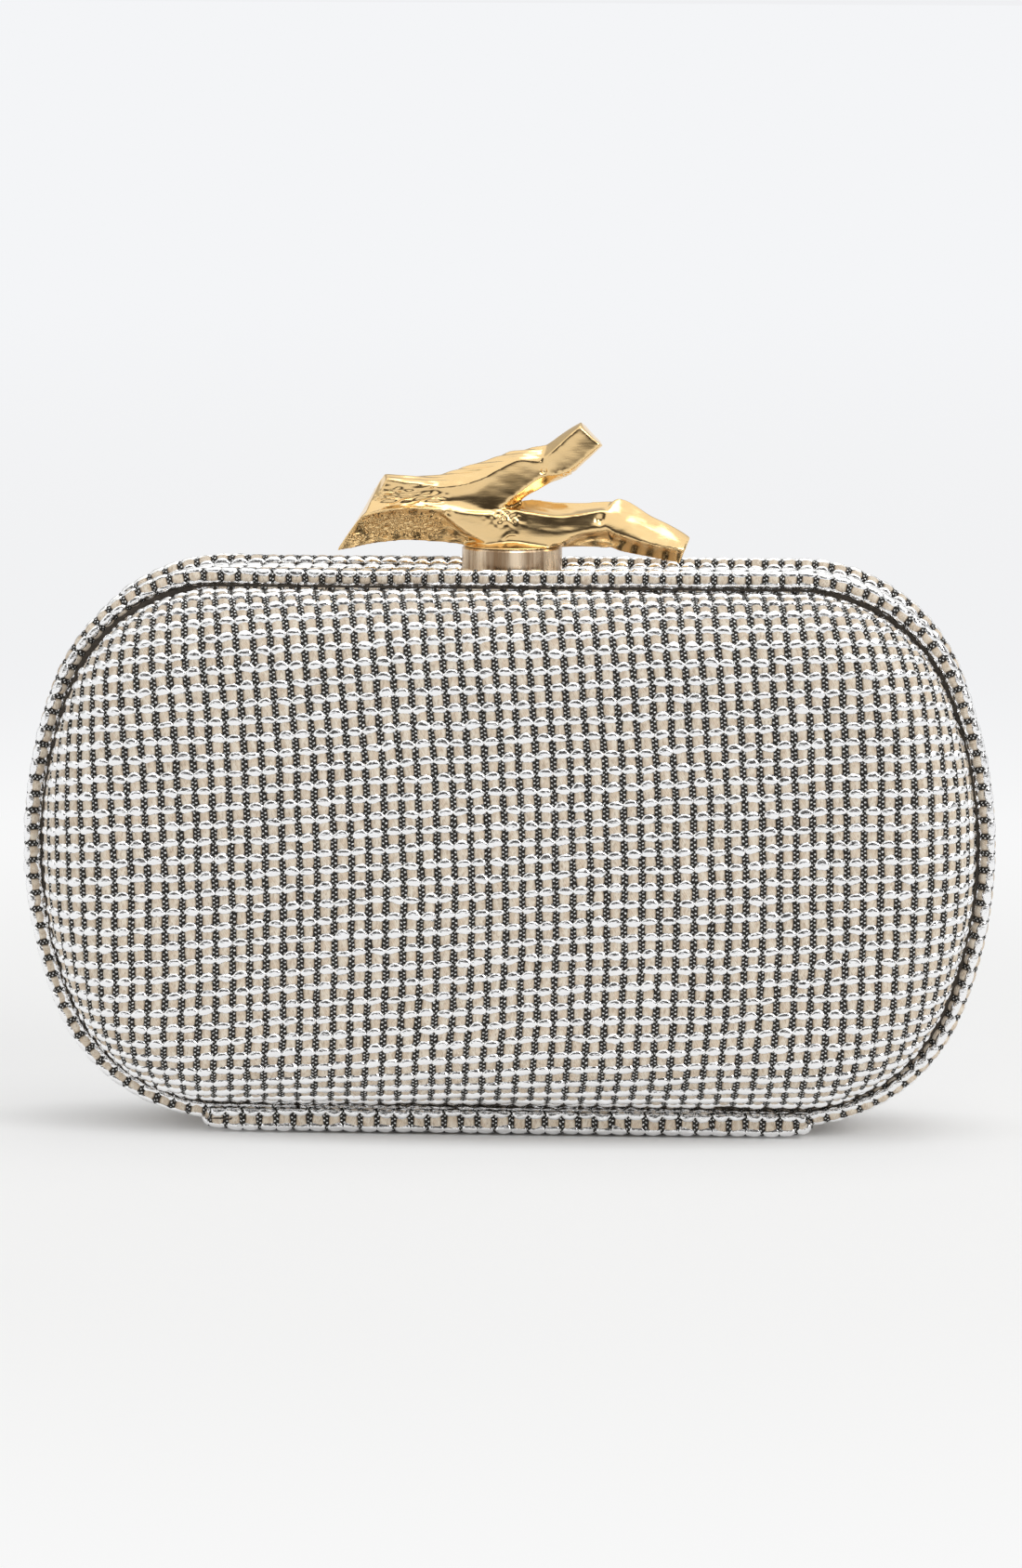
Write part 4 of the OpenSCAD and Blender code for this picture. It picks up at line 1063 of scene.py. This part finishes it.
def bark_relief(p, n):
    """How far the casting's skin stands out at each point: bark ridges in the upper groove, pits under
    them, a curl over the foot, dents at the knots and a light hammering all over. Each is a wave field or
    a hump, times a soft mask of where it lies."""
    x, y, z = p.T
    along = soft_step(x, -29.5, -26.5) * (1 - soft_step(x, -14.5, -11.5))
    groove = along * np.exp(-((z - 125.1 - 0.03 * (x + 20)) / 1.55) ** 2)
    strands = np.abs(waves(x * 0.15, z * 1.3 + 0.4 * y, 81, 1.1)) - 0.35
    knots = waves(x * 0.5, z, 82, 1.5)
    face = (1 - 0.6 * (y > 0)) * soft_step(np.abs(y), 1.0, 2.5)
    relief = groove * face * (0.55 * strands + 0.30 * knots)
    below = soft_step(x, -30, -27) * (1 - soft_step(x, -17, -12.5)) * np.exp(-((z - 118.7) / 2.0) ** 2)
    pits = 0.26 * np.abs(waves(x, z + y * 0.5, 83, 1.35)) - 0.22 * np.abs(waves(x, z, 84, 0.9))
    tip = np.exp(-((x + 30.5) ** 2 + (z - 115.3) ** 2) / 2.2)
    relief += below * face * pits + tip * 0.22 * waves(x, z, 85, 1.1)

    # The front alone has a curl of bark over the foot, dents and a rough scoop
    front = soft_step(-y, 1.5, 3.0)
    reach = np.hypot(x - 0.3, (z - 116.2) * 1.1)
    curl = np.exp(-((reach - 1.9) / 0.38) ** 2) * soft_step(z, 116.0, 117.4) * (1 - soft_step(x, 0.8, 1.8))
    dents = sum(hump(x, z, at, wide, -deep) for at, wide, deep in DENTS)
    scoop = np.exp(-((x + 1.0) / 2.6) ** 2 - ((z - 120.9) / 1.3) ** 2)
    relief += front * (0.20 * curl + dents + scoop * 0.30 * waves(x, z, 86, 1.0))

    under_edge = np.exp(-((x - 11.5) / 2.0) ** 2 - ((z - 129.3) / 0.9) ** 2)
    rim_top = soft_step(x, -26, -20) * (1 - soft_step(x, 3, 7)) * soft_step(z, 126.5, 128.5)
    relief += under_edge * 0.25 * waves(x, z, 87, 0.9)
    relief += rim_top * (1 - front) * 0.16 * waves(x * 0.25, z + 0.6 * y, 88, 1.3)
    hammered = 0.05 * waves(x + y, z, 89, 6.0) + 0.016 * waves(x * 0.5, z + y, 90, 2.1)
    return soft_step(z, 115.1, 116.2) * (relief + hammered)


# Ridge points (x, y, z) of the branch's four limbs. Each station goes from the top down the front and back
# up behind, and the bows say how far the facet after each ridge stands out.
TRUNK = [
    [(-25.1, 0.8, 128.8), (-24.6, -2.4, 127.9), (-29.6, -4.6, 120.8),
     (-34.6, -0.8, 113.4), (-33, 3.2, 115.6), (-27.6, 3.4, 125)],
    [(-19.5, 0.8, 128.6), (-19.4, -3.2, 127.4), (-24.8, -5.8, 122.2),
     (-27.6, -1, 115), (-27, 4.6, 117.5), (-21.5, 4, 126.4)],
    [(-14.5, 0.8, 128.8), (-14.6, -3.6, 126.8), (-19.2, -6.2, 122.8),
     (-21, -1.2, 115.8), (-20.5, 5, 118), (-16, 4.4, 126)],
    [(-9.9, 0.6, 130.3), (-10.4, -4, 127), (-13.9, -5.8, 122.4),
     (-14.5, -1.4, 115.6), (-14, 5.2, 118.5), (-11, 4.6, 127)],
    [(-5.2, 0.5, 131.7), (-6.4, -3.9, 128.1), (-8.6, -5.3, 121.8),
     (-8, -1.8, 115.2), (-8, 5, 119.5), (-6, 4.4, 128.4)],
    [(-0.5, 0.4, 133.4), (-3.2, -3.6, 129.8), (-4.3, -4.8, 121.9),
     (-2, -1.6, 117.5), (-3, 4.4, 122.5), (-1.5, 4, 130)],
    [(3.4, 0.3, 134.2), (1, -3.3, 132), (0.6, -4.2, 125.1),
     (1.4, -0.8, 123.4), (1, 3.6, 126), (2, 3.4, 131.6)],
    [(6.7, 0.2, 134.9), (4.9, -3.2, 131.6), (4.9, -3.4, 128.4),
     (5.6, -0.6, 126.1), (5.2, 3, 128.4), (5.4, 3, 132.4)],
    [(8.4, 0.2, 135.4), (7, -2, 131.4), (7.2, -2.6, 129.9),
     (8.4, -0.6, 127.8), (8, 2.4, 129.4), (8, 2.4, 133.2)]]
TRUNK_BOWS = ([[.25, -1.3, -.8, -.3, -.5, .2]] * 4 + [[.25, -.9, -.5, -.3, -.4, .2]]
              + [[.3, -.35, .1, -.2, -.3, .2]] + [[.2, -.15, .1, -.1, -.2, .2]] * 3)
LIMB_END = [
    [(3.6, 0.2, 133.4), (4.8, -1.8, 131.6), (5.9, -2.6, 129.3),
     (5.4, -0.5, 126.6), (5.2, 2.2, 128), (4.4, 2.2, 132)],
    [(6.7, 0.2, 134.9), (7.5, -3.3, 133.4), (8.6, -3.6, 129.2),
     (8.4, -0.6, 127.7), (8.2, 2.8, 129.4), (7.2, 2.8, 133.4)],
    [(9.8, 0.1, 137.2), (10.5, -3.2, 136.2), (11.6, -3.5, 130.3),
     (11.6, -0.7, 129.2), (11.4, 2.8, 131), (10.4, 2.8, 135.8)],
    [(12, 0, 138.6), (12.3, -3, 137.8), (14.7, -3.3, 132.9),
     (14.4, -0.8, 131.7), (14.2, 2.7, 133.4), (12.4, 2.7, 137.4)],
    [(13.5, 0, 139.4), (13.2, -2.8, 138.7), (17.2, -3, 135.2),
     (17.8, -0.8, 134.9), (17, 2.4, 135.5), (14, 2.5, 138.6)]]
LIMB_BOWS = [[.1, -.15, .1, .1, -.2, .1]] * 5
LOWER = [
    [(-13.8, -4.6, 122.4), (-13.8, -5, 122.2), (-13.8, -5.1, 122), (-13.6, -5, 121.7),
     (-13.4, -4.2, 121.6), (-13.4, -2, 121.8), (-13.6, -2, 122.3)],
    [(-8.6, -4.4, 122.2), (-8.6, -5.6, 122), (-8.7, -5.7, 121.6), (-9.6, -5.7, 118.7),
     (-9.4, -3.6, 117.6), (-9, 2, 118), (-8.6, 2, 121.8)],
    [(-4.3, -2.5, 122.3), (-4.3, -5, 122), (-4.3, -5.7, 121.5), (-4.6, -5.9, 116),
     (-4.2, -4.6, 115), (-4.2, 4.4, 116), (-4.2, 3.4, 122)],
    [(-0.2, -0.6, 123.3), (-0.6, -4.9, 122.5), (-1, -5.7, 120.5), (-0.2, -5.9, 115.7),
     (0, -4.8, 114.98), (0, 4.8, 116), (0, 3.6, 122.6)],
    [(3.6, 0.2, 124.1), (4, -4.7, 121.8), (4.4, -5.75, 118.8), (4.5, -5.8, 115.7),
     (4.5, -4.8, 114.98), (4.5, 4.8, 116), (4, 3.6, 122.4)],
    [(8.6, 0.4, 123.6), (8.6, -4.6, 121.2), (8.6, -5.65, 118.1), (9, -5.6, 115.7),
     (8.8, -3.6, 114.98), (8.6, 4.5, 116.2), (8.6, 3.4, 121.8)],
    [(13.2, 0.4, 123.5), (13.2, -4.3, 121.6), (13.2, -5.3, 118.6), (13.2, -5.25, 117.7),
     (13.2, -2, 115), (13.2, 4, 116.5), (13.2, 3.2, 121.8)],
    [(17.6, 0.5, 123.8), (17.2, -3.6, 122.3), (17.3, -4.6, 119.4), (17.5, -4.6, 118.4),
     (17.7, -1.6, 114.8), (18, 3.6, 116.4), (18, 3, 122)],
    [(20.6, 0.5, 123.8), (20.2, -2.6, 121.8), (20.2, -3.8, 119.4), (20.2, -4.2, 118.4),
     (20.3, -1.4, 114.8), (20.4, 3.2, 116.4), (20.5, 2.6, 122)]]
LOWER_BOWS = ([[0, 0, 0, .1, 0, 0, 0]] * 2 + [[-.1, 0, .12, .1, 0, -.2, 0]]
              + [[-.3, -.12, .12, .1, 0, -.3, -.1]] * 3 + [[-.3, -.12, .05, -.45, 0, -.3, -.1]] * 2
              + [[0] * 7])
BROAD = [
    [(17.9, -1.6, 122.3), (17.5, -4, 121), (17.7, -4.5, 119.7),
     (17.2, -2.2, 116.8), (17.2, 1.6, 117.6), (17.8, 1.2, 121.4)],
    [(21.3, 0.5, 124.4), (20.2, -2.9, 121.8), (20.3, -4.9, 118),
     (20.3, -1.4, 114.4), (20.4, 3.6, 116), (21.2, 3, 122.6)],
    [(27.3, 0.5, 121), (26.8, -2.6, 118.8), (26.2, -4.6, 116.1),
     (27, -1.2, 112.9), (27, 3.4, 114.6), (27.3, 2.8, 119.8)],
    [(32.4, 0.4, 118.5), (32.2, -2.3, 116.9), (31.4, -4.1, 115),
     (31.6, -1, 112), (31.8, 3, 113.8), (32.4, 2.6, 117.6)],
    [(34.9, 0.3, 116.8), (34.5, -1.8, 116), (33.9, -3.5, 114.5),
     (32.9, -0.9, 111.7), (33.2, 2.6, 113.4), (34.6, 2.2, 116.2)]]
BROAD_BOWS = [[.1, .1, -.3, -.2, -.2, .1]] * 5

# Dents in the front, with their places, reaches and depths
DENTS = (((6.2, 129.9), 0.55, 0.45), ((17.4, 120.6), 0.8, 0.5), ((23.2, 122.4), 1.5, 0.45),
         ((30.6, 113.7), 0.55, 0.45), ((-12.4, 121.9), 0.6, 0.35))

# The boss's radius, the height of its top, and the cell and rounds by which the limbs are made one skin
BOSS_R, FOOT_Z = 9.9, 114.94
SKIN_CELL, SKIN_ROUNDS = 0.22, 8


def carve_branch():
    """The branch: a trunk with its upper limb, the limb's cut end, a lower branch with a scoop, its
    broad end, and the foot, fused into one casting, whose skin then stands out by the bark's relief. Over
    the boss nothing hangs below the foot."""
    bodies = [carved(*limb) for limb in ((TRUNK, TRUNK_BOWS), (LIMB_END, LIMB_BOWS), (LOWER, LOWER_BOWS),
                                         (BROAD, BROAD_BOWS))]
    points, quads = fused([*bodies, turned_seat()], SKIN_CELL)
    points = relaxed(points, quads, SKIN_ROUNDS)
    n = skin_normals(points, quads)
    points = points + n * bark_relief(points, n)[:, None]
    over_boss = np.hypot(points[:, 0], points[:, 1]) < BOSS_R
    points[:, 2] = np.where(over_boss, np.maximum(points[:, 2], FOOT_Z), points[:, 2])
    branch = make_piece("carved_branch", points, quads, POLISHED)
    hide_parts("twig")
    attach(branch, "clasp_knob")


carve_branch()


# Finishes of the solids that stay

KEPT = {BRUSHED: ("front_frame", "rear_frame", "hinge_leaf_front", "hinge_leaf_rear", "hinge_rivets_front",
                  "hinge_rivets_rear", "clasp_bracket"),
        TURNED: ("clasp_boss",),
        STEEL: ("hinge_pin", "clasp_screws", "keeper", "keeper_screws", "spindle", "latch_cam",
                "spindle_nut", "wave_washer"),
        SHELL: ("front_dome", "rear_dome")}
for material, names in KEPT.items():
    for name in names:
        nodes[name].data.materials.clear()
        nodes[name].data.materials.append(material)


# Floor, lights and camera

def studio_floor():
    """A pale floor that keeps the bag's shadow. The camera and the metal see it lit evenly far away.
    From below it is clear, so that the underside can be looked at."""
    x, y = np.meshgrid(np.linspace(-9000, 9000, 7), np.linspace(-4000, 14000, 7), indexing="ij")
    points = np.stack([x, y, np.full(x.shape, -0.25)], -1)
    f = Finish("floor_paper", Base_Color=(0.90, 0.90, 0.895, 1), Roughness=1.0, Specular_IOR_Level=0.0)
    far = f.length(f.stretched(f.place(), (1.0, 1.0, 0.0)))
    near = f.length(f.stretched(f.place(), (0.25, 1.0, 0.0)))
    shade = f.mix(far.ramp(0.15, 0.75), (0.975, 0.975, 0.972), (0.882, 0.886, 0.896))
    shade = f.mix(far.ramp(0.8, 2.6), shade, (0.905, 0.913, 0.930))
    glow = f.node("ShaderNodeEmission", None, {"Color": shade})
    seen = f.ray("Camera") + f.ray("Glossy") + f.ray("Transmission")
    even = near.ramp(0.013, 0.029, 0.0, 0.6) + far.ramp(0.16, 0.42, 0.0, 0.4)
    lit = f.either(seen * even, f.surface, glow)
    below = f.node("ShaderNodeNewGeometry", output="Backfacing")
    clear = f.either(below, lit, f.node("ShaderNodeBsdfTransparent"))
    f.tree.links.new(clear.socket, f.out.inputs["Surface"])
    floor = make_piece("floor", points, facing_out(points, grid_quads(1, 6, 6), points * 0 + [0, 0, 1]),
                       f.material, flat=True)
    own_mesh(floor)


def studio_light():
    """Even light all round, in which metal also sees a dark patch above the front and a fainter one
    behind, and three soft lamps."""
    world = bpy.data.worlds.new("studio")
    bpy.context.scene.world = world
    world.use_nodes = True
    w = Nodes(world.node_tree)
    way = w.node("ShaderNodeTexCoord", output="Generated")
    toward = w.node("ShaderNodeVectorMath", {"operation": "DOT_PRODUCT"}, {0: way, 1: (0.50, -0.87, 0.0)},
                    "Value")
    up = w.part(way, "Z")
    top = 1.0 - up.ramp(0.60, 0.72)
    core = up.ramp(0.03, 0.38) * top * toward.ramp(-0.05, 0.40)
    haze = up.ramp(-0.06, 0.16) * top * toward.ramp(-0.1, 0.5)
    behind = up.ramp(0.10, 0.35) * top * (1.0 - toward.ramp(-0.7, -0.1)) * 0.6
    sky = w.mix(up.ramp(-0.2, 0.9), (0.93, 0.935, 0.94), (1.08, 1.08, 1.06))
    sky = w.mix(behind, sky, (0.22, 0.215, 0.21))
    metal_sees = w.mix(core, w.mix(haze, sky, (0.46, 0.45, 0.44)), (0.055, 0.052, 0.05))
    seen = w.mix(w.ray("Glossy"), (0.87, 0.875, 0.89), metal_sees)
    fill = w.mix(up.ramp(0.0, 0.9), (0.64, 0.64, 0.64), (0.44, 0.44, 0.44))
    light = w.either(w.ray("Diffuse"), w.node("ShaderNodeBackground", None, {"Color": seen}),
                     w.node("ShaderNodeBackground", None, {"Color": fill}))
    w.node("ShaderNodeOutputWorld", None, {"Surface": light})
    for name, at, aim, size, power in (("over", (0.25, 0.1, 1.6), (0, 0, 0.06), 0.9, 5.5),
                                       ("key", (1.35, -0.9, 1.15), (0, 0, 0.06), 0.7, 10.0),
                                       ("low_front", (-0.6, -1.6, 0.2), (0, 0, 0.05), 1.1, 5.5)):
        lamp = bpy.data.lights.new(name, "AREA")
        lamp.size, lamp.energy = size, power
        holder = bpy.data.objects.new(name, lamp)
        bpy.context.scene.collection.objects.link(holder)
        holder.visible_glossy = name != "low_front"
        holder.location = at
        holder.rotation_euler = (Vector(aim) - Vector(at)).to_track_quat("-Z", "Y").to_euler()


# The photograph's height and focal length in pixels. In metres, how far the camera stands from the bag's
# middle, how high it is and how high it looks. How far it is round to the right, and how far it is rolled.
PHOTO_HIGH, FOCAL = 1687.0, 6345.0
AWAY, ABOVE, LOOK = 1.15, 0.2385, 0.0677
TURN, ROLL = math.radians(2.2), math.radians(0.28)


def photo_camera():
    """The camera at the photograph's angle, aimed near the middle of the bag with its branch."""
    data = bpy.data.cameras.new("camera")
    data.sensor_fit = "AUTO"
    data.sensor_width = 36.0
    data.lens = 36.0 * FOCAL / PHOTO_HIGH
    data.clip_start, data.clip_end = 0.05, 40.0
    camera = bpy.data.objects.new("camera", data)
    bpy.context.scene.collection.objects.link(camera)
    eye = Vector((math.sin(TURN) * AWAY, -math.cos(TURN) * AWAY, ABOVE))
    camera.location = eye
    camera.rotation_mode = "QUATERNION"
    level = (Vector((0.0, 0.0, LOOK)) - eye).to_track_quat("-Z", "Y")
    camera.rotation_quaternion = level @ Matrix.Rotation(ROLL, 4, "Z").to_quaternion()
    bpy.context.scene.camera = camera


studio_floor()
studio_light()
photo_camera()
bpy.context.scene.view_settings.view_transform = "Standard"
